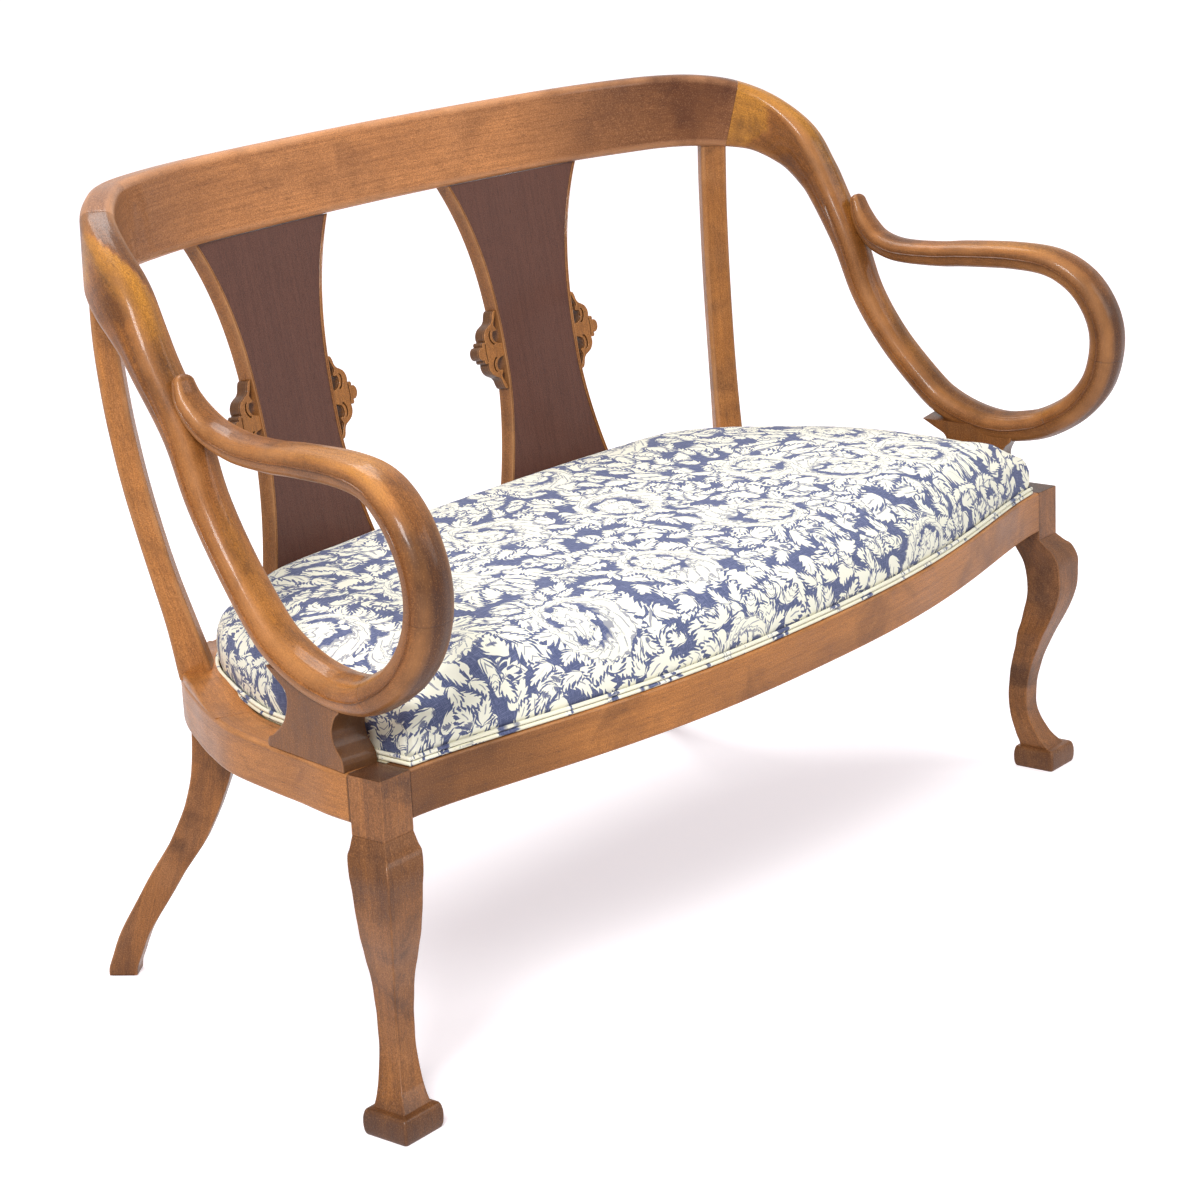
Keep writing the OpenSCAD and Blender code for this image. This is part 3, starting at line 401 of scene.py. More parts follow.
BLOCK_MID = HALF_W - BLOCK / 2
LEG_ROWS = [
    (1, 0, 1), (0.968, 0.33, 1.12), (0.947, 0.57, 1.22), (0.895, 0.89, 1.215), (0.844, 0.98, 1.155), (0.781, 1, 1.11),
    (0.73, 0.9, 1.057), (0.68, 0.69, 1.01), (0.631, 0.45, 0.93), (0.58, 0.16, 0.861), (0.529, -0.05, 0.767),
    (0.478, -0.27, 0.707), (0.427, -0.43, 0.676), (0.376, -0.54, 0.637), (0.322, -0.59, 0.633), (0.267, -0.57, 0.624),
    (0.213, -0.41, 0.667), (0.159, -0.13, 0.743), (0.135, 0.02, 0.793), (0.111, 0.22, 0.861), (0.09, 0.41, 0.952)]
FOOT_ROWS = [(0.09, 0.93), (0.0865, 0.99), (0.081, 1.025), (0.073, 1.052), (0.06, 1.078), (0.045, 1.085), (0.03, 1.08),
             (0.016, 1.062), (0.007, 1.035), (0.002, 1.0), (0, 0.97)]


def diagonal_ring(z, out, side, r):
    d = out / math.sqrt(2)
    pts, mask = section(side, side, r, arc=5, side=6)
    ring = np.column_stack([BLOCK_MID + d + pts[:, 0], BLOCK / 2 - d + pts[:, 1], np.full(len(pts), z)])
    return ring, np.column_stack([np.full(len(pts), z), pts]), mask


def front_leg():
    rows = smooth(LEG_ROWS, 5)[::-1]
    data = [diagonal_ring(BLOCK_Z * s, FOOT_OUT, FOOT * k, 3.2) for s, k in FOOT_ROWS[::-1]]
    data += [diagonal_ring(BLOCK_Z * s[0], KNEE_OUT * s[1], BLOCK * s[2], 1.6) for s in rows]
    rings, grain, edge = (np.array([d[k] for d in data]) for k in range(3))
    height = rings[:, :1, 2] / BLOCK_Z
    tone = 0.4 * ease((height - 0.7) / 0.2) + 0.6 * ease((0.13 - height) / 0.07) + 0.12
    lower = loft(rings, grain, 0.4 * edge ** 3, tone=tone * np.ones(rings.shape[1]))
    block = [diagonal_ring(z, 0, BLOCK - 2 * eased, 1.0)
             for z, eased in ((BLOCK_Z - 0.5, 0.8), (BLOCK_Z + 0.4, 0), (RAIL_Z, 0), (SEAT_H - 14, 0), (SEAT_H - 0.8, 0),
                              (SEAT_H - 0.25, 0.25), (SEAT_H, 0.8))]
    rings, grain, edge = (np.array([d[k] for d in block]) for k in range(3))
    tone = np.where(rings[:, :, 2] > SEAT_H - 0.5, 1.0, 0.08)
    return lower.plus(loft(rings, grain, 0.6 * edge ** 3, tone=tone))


REAR_LEG_ROWS = [
    (0, 0, 0), (0.03, 0.007, 0.03), (0.072, 0.047, 0.05), (0.165, 0.145, 0.1), (0.29, 0.338, 0.24), (0.38, 0.476, 0.29),
    (0.47, 0.633, 0.38), (0.51, 0.695, 0.41), (0.6, 0.807, 0.43), (0.655, 0.862, 0.48), (0.745, 0.935, 0.67),
    (0.867, 0.985, 0.9), (1, 1, 1)]
REAR_LEG_PLACE = rim_in(18 * RIM_SCALE, RIM_T * 0.62)


def rear_leg():
    way = np.array([math.sin(REAR_TURN), math.cos(REAR_TURN)])
    across = np.array([math.cos(REAR_TURN), -math.sin(REAR_TURN)])
    rings, grain, edge = [], [], []
    rows = smooth(REAR_LEG_ROWS, 5)
    foot = [(t, 2.2 * (1 - math.sin(math.radians(90 * t)))) for t in (0, 0.3, 0.65, 1)]
    stations = [(rows[0] * (0, 1, 1) + (2.2 * t / RAIL_Z, 0, 0), cut) for t, cut in foot] + [(s, 0.0) for s in rows[1:]]
    for s, cut in stations:
        pts, mask = section(REAR_LEG_T - 2 * cut, mix(REAR_LEG_FOOT, REAR_LEG_TOP, s[2]) - 2 * cut, 2.6, arc=5, side=4)
        out = REAR_LEG_OUT * (1 - s[1])
        xy = REAR_LEG_PLACE + way * (out + pts[:, 1:]) + across * pts[:, :1]
        rings.append(np.column_stack([xy, np.full(len(pts), RAIL_Z * s[0])]))
        grain.append(np.column_stack([np.full(len(pts), RAIL_Z * s[0] * 1.1), pts[:, 0], pts[:, 1] + out * 0.5]))
        edge.append(mask)
    return loft(rings, grain, np.array(edge))


POST_ROWS = [
    (0, 0, 1.4, 1.16), (0.03, 0.04, 1.37, 1.14), (0.08, 0.13, 1.26, 1.09), (0.15, 0.28, 1.13, 1.04), (0.25, 0.56, 1.03, 1),
    (0.36, 0.8, 1, 0.98), (0.49, 0.98, 1, 0.98), (0.6, 1, 1, 0.98), (0.7, 0.93, 1, 0.98), (0.82, 0.7, 1, 0.98),
    (0.92, 0.36, 1, 1), (1.06, -0.3, 1, 1)]
POST_FOOT = rim_in(15 * RIM_SCALE, RIM_T * 0.44)
_head = 19 * FINE // PART_STEPS
POST_HEAD = (mix(PLACES[_head], PLACES[_head + FINE // PART_STEPS], 0.35) - facing(_head) * 4)
POST_RUN = np.array([POST_HEAD[0] - POST_FOOT[0], POST_HEAD[1] - POST_FOOT[1], CREST_Z - CREST_H / 2 - SEAT_H])


def rear_post():
    c, k = math.cos(POST_TURN), math.sin(POST_TURN)
    rings, grain, edge = [], [], []
    for s in smooth(POST_ROWS, 5):
        pts, mask = section(POST_W * s[3], POST_T * s[2], 5.6, arc=6, side=4)
        b = POST_BOW * s[1]
        x, y = pts[:, 0], pts[:, 1] + b
        rings.append(np.column_stack([POST_FOOT[0] + POST_RUN[0] * s[0] + x * c + y * k,
                                      POST_FOOT[1] + POST_RUN[1] * s[0] - x * k + y * c,
                                      np.full(len(pts), SEAT_H + POST_RUN[2] * s[0])]))
        grain.append(np.column_stack([np.full(len(pts), POST_RUN[2] * s[0]), pts]))
        edge.append(mask)
    return loft(rings, grain, np.array(edge))


def corner_pad():
    """Low raised pad of the rim that carries a rear post, flowing up into it."""
    first, last = 9 * RIM_SCALE, 20 * RIM_SCALE
    rings, grain, edge = [], [], []
    for i in range(first, last + 1):
        t = (i - first) / (last - first)
        h = 0.25 + 8.6 * float(ease(t / 0.34) * ease((1 - t) / 0.3))
        pts, mask = rail_section(RIM_T - 1.0, h, min(5.0, h * 0.45), 0.4, min(1.0, h * 0.3))
        xy = RIM[i] + RIM_NORMAL[i] * (pts[:, :1] + 0.5)
        rings.append(np.column_stack([xy, SEAT_H - 0.1 + pts[:, 1]]))
        grain.append(np.column_stack([np.full(len(pts), 8.0 * i), pts[:, 0], pts[:, 1] + RAIL_H]))
        edge.append(mask)
    return loft(rings, grain, np.array(edge))


# Block under an arm

SADDLE_FRONT = [(0.04, 0), (0.05, 0.16), (0.13, 0.32), (0.16, 0.5), (0.11, 0.7), (0.05, 0.8), (0.02, 1)]
SADDLE_REAR = [(0.96, 1.1), (0.85, 0.98), (0.73, 0.84), (0.715, 0.65), (0.776, 0.4), (0.9, 0.2), (0.99, 0.11), (1, 0)]
SADDLE_END = RIM[6 * RIM_SCALE]
SADDLE_TURN = -math.atan2(SADDLE_END[0] - HALF_W, SADDLE_END[1] - BLOCK)


def arm_saddle():
    front, rear = (smooth([(SADDLE_L * a, ARM_LOW * b) for a, b in rows], 5) for rows in (SADDLE_FRONT, SADDLE_REAR))
    lines = []
    for line in (front, rear[::-1]):
        s = lengths(line)
        at = np.linspace(0, s[-1], 40)
        lines.append(np.column_stack([np.interp(at, s, line[:, 0]), np.interp(at, s, line[:, 1])]))
    way = np.array([-math.sin(SADDLE_TURN), math.cos(SADDLE_TURN)])
    across = np.array([math.cos(SADDLE_TURN), math.sin(SADDLE_TURN)])
    spread = [0, 0, 0.012, 0.03, 0.2, 0.4, 0.6, 0.8, 0.97, 0.988, 1, 1]
    inset = [1.2, 0.5, 0.1, 0, 0, 0, 0, 0, 0, 0.1, 0.5, 1.2]
    loop = [(t, 0, -e) for t, e in zip(spread, inset)] + [(t, 1, e) for t, e in zip(spread[::-1], inset)]
    rings, grain, edge, dark = [], [], [], []
    for a, b in zip(*lines):
        p = [(mix(a, b, t), -SADDLE_W * far + e) for t, far, e in loop]
        rings.append([(*(np.array([HALF_W, BLOCK]) + way * q[0] + across * w), SEAT_H + q[1]) for q, w in p][::-1])
        grain.append([(q[1], q[0], w) for q, w in p][::-1])
        edge.append([0.5 * (abs(e) > 0.05) for _, _, e in loop][::-1])
        dark.append([0.85 * (t < 0.01) for t, _, _ in loop][::-1])
    return loft(rings, grain, np.array(edge), np.array(dark), tone=0.75)


# Splats

CREST_LINE = STATIONS[:CORNER_ROW * FINE + 1, :2]
SPLAT_CREST_Y = np.interp(SPLAT_X, CREST_LINE[:, 0], CREST_LINE[:, 1])
SPLAT_Y = SPLAT_CREST_Y - (CREST_Z - SEAT_H) * math.tan(SPLAT_LEAN)
SPLAT_YAW = math.atan2(np.interp(SPLAT_X + SPLAT_WAIST_W / 2, CREST_LINE[:, 0], CREST_LINE[:, 1])
                       - np.interp(SPLAT_X - SPLAT_WAIST_W / 2, CREST_LINE[:, 0], CREST_LINE[:, 1]), SPLAT_WAIST_W)
SPLAT_L = (CREST_Z - SEAT_H) / math.cos(SPLAT_LEAN) - CREST_H / 2 - 3 * FIT
WAIST_V = SPLAT_L * 0.46


def splat_half(v):
    up = np.clip((v - WAIST_V) / (SPLAT_L - WAIST_V), 0, None) ** 2.75
    down = np.clip((WAIST_V - v) / WAIST_V, 0, None) ** 1.7
    return SPLAT_WAIST_W / 2 + (SPLAT_TOP_W - SPLAT_WAIST_W) / 2 * up + (SPLAT_FOOT_W - SPLAT_WAIST_W) / 2 * down


SPLAT_TO_PART = (Matrix.Translation((SPLAT_X, SPLAT_Y, SEAT_H)) @ Matrix.Rotation(SPLAT_YAW, 4, "Z")
                 @ Matrix.Rotation(-SPLAT_LEAN, 4, "X") @ Matrix.Translation((0, SPLAT_T / 2, 0))
                 @ Matrix.Rotation(math.radians(90), 4, "X"))
SPLAT_MATRIX = np.array(SPLAT_TO_PART)


def on_splat(points):
    """Points across, up and out of the board's plane, put in the part's frame."""
    p = np.asarray(points, float)
    return p @ SPLAT_MATRIX[:3, :3].T + SPLAT_MATRIX[:3, 3]


SPLAT_PROFILE = [  # in from the side of the board, height over its back face, worn and highlighted arris, and below zero a dark line
    (1.2, 0.0, 0.6), (0.3, 0.3, 1), (0.0, 1.2, 0.6), (0.0, 6.0, 0), (0.0, 12.0, 0), (0.0, 18.6, 0.5), (0.25, 19.5, 1),
    (0.9, 20.0, 1), (1.7, 20.0, 0.6), (2.2, 19.5, 0), (2.5, 18.9, -1), (2.8, 19.4, 0), (3.5, 19.8, 0.8),
    (4.3, 19.4, 0.4), (4.8, 18.6, -1), (5.0, 17.8, -1)]
SPLAT_LOW = -5  # the foot of a splat, sunk into the back rail
PANEL_FACE, PANEL_BACK = 18.6, 16.9


def splat():
    rings, grain, edge = [], [], []
    for v in np.linspace(SPLAT_LOW, SPLAT_L, 70):
        h = splat_half(max(v, 0))
        pts = np.array([(h - a, b) for a, b, _ in SPLAT_PROFILE] + [(-h + a, b) for a, b, _ in SPLAT_PROFILE[::-1]])
        rings.append(on_splat(np.column_stack([pts[:, 0], np.full(len(pts), v), pts[:, 1]]))[::-1])
        grain.append(np.column_stack([np.full(len(pts), v), pts])[::-1])
        wear_and_highlight = [e for _, _, e in SPLAT_PROFILE]
        edge.append(wear_and_highlight + wear_and_highlight[::-1])
    edge = np.array(edge)
    return loft(rings, grain, np.maximum(edge, 0), 0.8 * (edge < 0), tone=0.2)


def splat_panel():
    rings, grain = [], []
    for v in np.linspace(SPLAT_LOW, SPLAT_L, 60):
        h = splat_half(max(v, 0)) - SPLAT_EDGE + 0.05
        across = np.linspace(-h, h, 9)
        pts = np.array([(x, PANEL_BACK) for x in across[::-1]] + [(x, PANEL_FACE) for x in across])[::-1]
        rings.append(on_splat(np.column_stack([pts[:, 0], np.full(len(pts), v), pts[:, 1]])))
        grain.append(np.column_stack([np.full(len(pts), v), pts]))
    return loft(rings, grain)


# Carved ornaments

ORNAMENT_MID = SPLAT_L * 0.41 + ORNAMENT_H / 2
# Upper half of the carving's outline: reach from the board's side, and height over its middle
CARVED_OUTER = [(41.5, 0), (40.5, 4.2), (37, 7.6), (33.4, 8), (33.6, 10.8), (31.4, 13), (28.6, 12.4), (27.4, 13.2),
                (28, 17), (27, 22), (23.6, 27), (18, 30.5), (13, 33), (9.6, 37), (7.6, 42.5), (5, 46.6), (1.6, 48)]
CARVED_INNER = [(1.4, 46), (3.4, 41), (6.4, 35.6), (8.4, 31), (6.6, 27.6), (5.6, 25), (7.6, 23.4), (10.6, 23.6),
                (13.2, 20.6), (13.4, 16), (11, 11.6), (6.6, 9), (2, 8), (-1.5, 7.4)]
CARVED_GROOVE = [(11.4, 8.2), (15.6, 11.6), (17.4, 16.6), (16.8, 22), (14.6, 25.4),
                 (18.6, 22.8), (19.8, 17), (17.8, 11), (14.6, 7.8)]
CARVED_BUD = [(27.0, -10.4), (27.5, -5.2), (27.7, 0), (27.5, 5.2), (27.0, 10.4), (28.2, 10.9), (28.8, 5.4), (29, 0),
              (28.8, -5.4), (28.2, -10.9)]


def sawn(outlines, low, high, bevel):
    """Board cut to outlines, the later ones being holes, with eased arrises."""
    curve = bpy.data.curves.new("sawn", "CURVE")
    curve.dimensions, curve.fill_mode = "2D", "BOTH"
    curve.extrude, curve.bevel_depth, curve.bevel_resolution, curve.offset = (high - low) / 2 - bevel, bevel, 2, -bevel
    for line in outlines:
        spline = curve.splines.new("POLY")
        spline.points.add(len(line) - 1)
        spline.points.foreach_set("co", np.column_stack([line, np.zeros(len(line)), np.ones(len(line))]).ravel())
        spline.use_cyclic_u = True
    ob = bpy.data.objects.new("sawn", curve)
    bpy.context.scene.collection.objects.link(ob)
    me = bpy.data.meshes.new_from_object(ob.evaluated_get(bpy.context.evaluated_depsgraph_get()))
    verts, faces = points_of(me).astype(float), [list(q.vertices) for q in me.polygons]
    bpy.data.objects.remove(ob)
    bpy.data.curves.remove(curve)
    bpy.data.meshes.remove(me)
    verts[:, 2] += (high + low) / 2
    front = ease((verts[:, 2] - (high - bevel * 0.9)) / (bevel * 0.6))
    # Wear with painted highlight on the face's arris, and painted shade on the carving's sides below it
    wear_and_highlight = 0.9 * front * (verts[:, 2] < high - 0.02)
    return Skin(verts, faces, fields((len(verts),), verts[:, [1, 0, 2]], wear_and_highlight, 0.85 * (1 - front), 0))


def ornament(inner):
    """Carving on the outer or the inner side of the right splat: a body, and a face with its hollows."""
    half = np.concatenate([smooth(CARVED_OUTER, 4), smooth(CARVED_INNER, 4)])
    outline = np.concatenate([half, half[:0:-1] * (1, -1)])
    groove = smooth(CARVED_GROOVE + CARVED_GROOVE[:1], 4)[:-1]
    skin = sawn([outline], 2.2, 15.6, 0.5).plus(
        sawn([outline, groove, groove[::-1] * (1, -1), CARVED_BUD], 15.2, 18.4, 0.8))
    p = skin.verts
    p[:, 0] += splat_half(p[:, 1] + ORNAMENT_MID)
    p[:, 1] += ORNAMENT_MID
    if inner:
        p = p * (-1, 1, 1)
        skin.faces = [q[::-1] for q in skin.faces]
    skin.verts = on_splat(p)
    return skin


# Cushion

# Drawing-in of the sides, dip of the edge at the front corners and its reach, set-back of the front, fullness at the
# back and both ends, extra height of the crown, and how much higher its right end is
SEAT_ROUND, CORNER_LOW, CORNER_REACH, FRONT_SET, FILL, CROWN_MORE, UNEVEN = 22, 0.2, FRAME_D / 3, 4, 12, 4.0, 4.0
# Shares of the height and of the drawing-in up a side, and of the height and the plan up the crown
SIDE_SHARES = [(0, 0.25), (0.12, 0.12), (0.34, 0), (0.62, 0.04), (0.85, 0.28), (1, 0.9)]
CROWN_SHARES = [(0.3, 0.9), (0.6, 0.8), (0.84, 0.66), (0.95, 0.48), (0.99, 0.25), (1.0, 0.06)]
UNDER_SHARES = (0.1, 0.6, 0.92)


def seat_set(i):
    return mix(SEAT_INSET, SEAT_BACK_INSET, np.clip((i / RIM_SCALE - 5) / 9, 0, 1))


CUSHION_SIDE = np.array([rim_in(i, seat_set(i)) for i in range(0, RIM_LAST + 1, 2)])
CUSHION_HALF = CUSHION_SIDE[0][0]
_x = np.linspace(-CUSHION_HALF, CUSHION_HALF, 181)
CUSHION_EDGE = np.concatenate([np.column_stack([_x, bow_y(_x) + FRONT_SET])[:-1], CUSHION_SIDE,
                               CUSHION_SIDE[-2::-1] * (-1, 1)])[:-1]
CUSHION_MID = np.array([0, (CUSHION_SIDE[-1][1] - FRONT_BOW) / 2])
CUSHION_HALF_D = (CUSHION_SIDE[-1][1] + FRONT_BOW) / 2
EDGE_WAY = unit(np.roll(CUSHION_EDGE, -1, 0) - np.roll(CUSHION_EDGE, 1, 0))
EDGE_OUT = np.column_stack([EDGE_WAY[:, 1], -EDGE_WAY[:, 0]])
_away = np.hypot(np.abs(CUSHION_EDGE[:, 0]) - CUSHION_HALF, CUSHION_EDGE[:, 1] - BLOCK) / CORNER_REACH
EDGE_H = SEAT_SIDE * (1 - CORNER_LOW * np.maximum(0, 1 - _away) ** 2)
SEAT_LOW = SEAT_H + FIT


def drawn_in(share):
    """The cushion's edge in plan, drawn in towards its middle."""
    return (CUSHION_EDGE - CUSHION_MID) * share + CUSHION_MID


def side_ring(s, swell=0.0):
    xy = drawn_in(1 - s[1] * SEAT_ROUND / np.array([CUSHION_HALF, CUSHION_HALF_D])) + EDGE_OUT * swell
    return np.column_stack([xy, SEAT_LOW + EDGE_H * s[0]])


def crown_ring(s):
    """Ring of the crown, fuller than the part's solid towards the back and both ends."""
    xy = drawn_in(s[1])
    spare = (1 - ease((CUSHION_EDGE[:, 1] - CUSHION_MID[1]) / CUSHION_HALF_D / 0.8)) * (
        1 - ease((np.abs(CUSHION_EDGE[:, 0]) / CUSHION_HALF - 0.2) / 0.6))
    full = FILL * (1 - spare) * 4 * s[0] * (1 - s[0]) + UNEVEN * s[0] * xy[:, 0] / CUSHION_HALF
    return np.column_stack([xy, SEAT_H + mix(EDGE_H, SEAT_CROWN + CROWN_MORE, s[0]) + full])


def cushion_form(shrink):
    sides, crown = smooth(SIDE_SHARES, 3), smooth(CROWN_SHARES, 4)
    rings = np.array([side_ring(s, -shrink) for s in sides] + [crown_ring(s) for s in crown])
    rings[len(sides):, :, 2] -= shrink
    rings[:len(sides), :, 2] -= shrink * sides[:, :1] ** 2
    under = [np.column_stack([drawn_in(t), np.full(len(CUSHION_EDGE), SEAT_LOW)]) for t in UNDER_SHARES]
    return loft(np.concatenate([under, rings]))


CHUNK = 20000  # points handled at a time
SIDE_NEAR, SIDE_BLEND = 40, 20  # how near its edge the cloth turns down


def cloth_coordinates(points):
    """Place on the flat cloth of each point in millimetres: the plan, turned down over the sides."""
    out = np.zeros((len(points), 3))
    for a in range(0, len(points), CHUNK):
        p = points[a:a + CHUNK]
        d = ((p[:, None, :2] - CUSHION_EDGE[None]) ** 2).sum(-1)
        j = d.argmin(1)
        near = ease((SIDE_NEAR - np.sqrt(d[np.arange(len(p)), j])) / SIDE_BLEND)
        drop = np.maximum(0, SEAT_LOW + EDGE_H[j] - p[:, 2]) * near
        out[a:a + CHUNK] = np.column_stack([p[:, :2] + EDGE_OUT[j] * drop[:, None], drop])
    return out


# The cloth. In millimetres: how much smaller it starts, how far it may move, its mesh, and how far up it is fixed
PRESSURE, STIFFNESS, BENDING, FRAMES = 0.25, 5.0, 0.2, 20
SHRINK, CAP, VOXEL, HELD = 1.0, 10.0, 6.0, 7.0


def points_of(mesh):
    co = np.empty(len(mesh.vertices) * 3, np.float32)
    mesh.vertices.foreach_get("co", co)
    return co.reshape(-1, 3)


def apply_modifier(ob, kind, **values):
    modifier = ob.modifiers.new(kind.lower(), kind)
    for key, value in values.items():
        setattr(modifier, key, value)
    bpy.ops.object.modifier_apply(modifier=modifier.name)


def inflate(ob):
    """Remesh the cushion and let the cloth swell, with its underside held on the seat frame."""
    bpy.context.view_layer.objects.active = ob
    ob.select_set(True)
    apply_modifier(ob, "REMESH", mode="VOXEL", voxel_size=VOXEL * MM)
    start = points_of(ob.data)
    held = ob.vertex_groups.new(name="held")
    held.add([int(i) for i in np.nonzero(start[:, 2] < (SEAT_LOW + HELD) * MM)[0]], 1.0, "REPLACE")
    cloth = ob.modifiers.new("cloth", "CLOTH")
    cs = cloth.settings
    cs.quality, cs.mass, cs.bending_stiffness = 5, 0.3, BENDING
    cs.tension_stiffness = cs.compression_stiffness = cs.shear_stiffness = STIFFNESS
    cs.use_pressure, cs.uniform_pressure_force = True, PRESSURE
    cs.vertex_group_mass = "held"
    cs.effector_weights.gravity = 0
    cloth.collision_settings.use_self_collision = cloth.collision_settings.use_collision = False
    cloth.point_cache.frame_start, cloth.point_cache.frame_end = 1, FRAMES
    for f in range(1, FRAMES + 1):
        bpy.context.scene.frame_set(f)
    move = points_of(ob.evaluated_get(bpy.context.evaluated_depsgraph_get()).data) - start
    ob.modifiers.remove(cloth)
    bpy.context.scene.frame_set(1)
    far = np.linalg.norm(move, axis=1, keepdims=True)
    co = start + move * np.minimum(1, CAP * MM / np.maximum(far, 1e-9))
    co[:, 2] = np.maximum(co[:, 2], SEAT_LOW * MM)
    ob.data.vertices.foreach_set("co", co.ravel())
    ob.data.update()
    apply_modifier(ob, "SUBSURF", levels=1, render_levels=1)


DART_DEPTH, DART_WIDTH, DART_REACH, DART_TOP = 2.6, 4.2, 70, 46


def dart(p):
    """Crease where the cloth is taken in at the two front corners, in millimetres."""
    for side in (-1, 1):
        x, y, height = (p[:, 0] - side * CUSHION_HALF) * side, p[:, 1] - FRONT_SET, p[:, 2] - SEAT_H
        near = ease((DART_REACH - np.hypot(x, y)) / 30) * ease((DART_TOP - height) / 34) * ease(height / 5)
        fold = np.exp(-((x + y) / DART_WIDTH) ** 2) - 0.35 * np.exp(-((np.abs(x + y) - 8) / 5) ** 2)
        p = p + (DART_DEPTH * near * fold)[:, None] * np.array([-side, 1, 0]) / math.sqrt(2)
    return p


def cushion():
    ob = cushion_form(SHRINK).mesh("cushion", angle=180)
    inflate(ob)
    me = ob.data
    p = dart(points_of(me) / MM + (0, Y_MID, 0))
    me.vertices.foreach_set("co", ((p - (0, Y_MID, 0)) * MM).astype(np.float32).ravel())
    add_field(me, "cloth", cloth_coordinates(p) * MM)
    me.shade_smooth()
    return ob


WELT_R, WELT_SIDES = 2.2, 10


def welt(height, out, name):
    """Cord round the foot of the cushion. The same print runs over it."""
    line = np.column_stack([drawn_in(1) + EDGE_OUT * out, np.full(len(CUSHION_EDGE), SEAT_LOW + height)])
    kept = np.concatenate([[True], np.linalg.norm(np.diff(line, axis=0), axis=1) > 0.4])
    line, out_way = line[kept], EDGE_OUT[kept]
    way = unit(np.roll(line, -1, 0) - np.roll(line, 1, 0))
    right = unit(np.cross(way, (0, 0, 1)))
    a = np.linspace(0, 2 * math.pi, WELT_SIDES, endpoint=False)[:, None]
    rings = line[:, None] + WELT_R * (np.cos(a) * right[:, None] + np.sin(a) * np.cross(right, way)[:, None])
    rings, line, out_way = (np.concatenate([v, v[:1]]) for v in (rings, line, out_way))
    ob = loft(rings, caps=(False, False)).mesh(name, angle=180)
    drop = SEAT_SIDE - height
    flat = np.full(rings.shape, drop, float)
    flat[..., :2] = line[:, None, :2] + out_way[:, None] * (0.5 * WELT_R * a + drop)
    add_field(ob.data, "cloth", flat.reshape(-1, 3) * MM)
    return ob


# Materials

class Value:
    """Output of a node. Sums, products and so on of values are nodes too, and a | b is the larger of two."""

    def __init__(self, graph, socket):
        self.graph, self.socket = graph, socket

    def join(self, op, other):
        vector = self.socket.type in ("VECTOR", "RGBA")
        return (self.graph.vec if vector else self.graph.math)(op, self, other)

    def __add__(self, other):
        return self.join("ADD", other)

    def __sub__(self, other):
        return self.join("SUBTRACT", other)

    def __mul__(self, other):
        if self.socket.type in ("VECTOR", "RGBA") and isinstance(other, (int, float)):
            return self.graph.vec("SCALE", self, scale=other)
        return self.join("MULTIPLY", other)

    def __truediv__(self, other):
        return self.join("DIVIDE", other)

    def __or__(self, other):
        return self.join("MAXIMUM", other)

    def __rsub__(self, other):
        return self.graph.math("SUBTRACT", other, self)

    def __abs__(self):
        return self.graph.math("ABSOLUTE", self)

    def range(self, *limits):
        """The value, moved from the first two limits to the next two, or to 0 and 1."""
        return self.graph.get("MapRange", (self, *limits))


class Graph:
    """Builds a material or a world out of nodes."""

    def __init__(self, owner, output="OutputMaterial"):
        owner.use_nodes = True
        self.owner, self.tree = owner, owner.node_tree
        self.tree.nodes.clear()
        self.out = self.add(output)

    def add(self, kind, inputs=(), **values):
        node = self.tree.nodes.new("ShaderNode" + kind)
        for key, value in values.items():
            setattr(node, key, value)
        for key, value in inputs.items() if isinstance(inputs, dict) else enumerate(inputs):
            if value is not None:
                self.put(node.inputs[key], value)
        return node

    def put(self, socket, value):
        value = getattr(value, "socket", value)
        if isinstance(value, bpy.types.NodeSocket):
            self.tree.links.new(value, socket)
        else:
            socket.default_value = (*value, 1.0) if socket.type == "RGBA" and len(value) == 3 else value

    def get(self, kind, inputs=(), output=0, **values):
        return Value(self, self.add(kind, inputs, **values).outputs[output])

    def attr(self, name, output="Vector"):
        return self.get("Attribute", (), output, attribute_name=name)

    def math(self, op, *values):
        return self.get("Math", values, operation=op)

    def vec(self, op, a, b=None, scale=None):
        return self.get("VectorMath", {0: a, 1: b, "Scale": scale}, "Value" if op == "LENGTH" else "Vector", operation=op)

    def noise(self, at, scale, detail=3.0, rough=0.5, distortion=0.0, output="Fac"):
        return self.get("TexNoise", {"Vector": at, "Scale": scale, "Detail": detail, "Roughness": rough,
                                     "Distortion": distortion}, output)

    def mix(self, fac, a, b):
        return self.get("Mix", {0: fac, 6: a, 7: b}, 2, data_type="RGBA")

    def bump(self, height, distance, strength):
        return self.get("Bump", {"Height": height, "Distance": distance, "Strength": strength})

    def parts(self, value, kind="SeparateXYZ"):
        return [Value(self, output) for output in self.add(kind, (value,)).outputs]

    def cells(self, at, randomness):
        """Middle of the cell that holds a point, and the cell's three numbers."""
        node = self.add("TexVoronoi", {"Vector": at, "Scale": 1.0, "Randomness": randomness}, voronoi_dimensions="2D")
        return Value(self, node.outputs["Position"]), self.parts(node.outputs["Color"], "SeparateColor")

    def surface(self, kind, **values):
        node = self.add(kind, {key.replace("_", " "): value for key, value in values.items()})
        self.put(self.out.inputs[0], node.outputs[0])
        return self.owner


def new_material(name):
    return Graph(bpy.data.materials.new(name))


def rgb(*levels):
    """Colour written as on a screen, from 0 to 255, turned into light."""
    return tuple(c / 12.92 if c <= 0.04045 else ((c + 0.055) / 1.055) ** 2.4 for c in (v / 255 for v in levels))


def darker(colour, share):
    return tuple(share * c for c in colour)


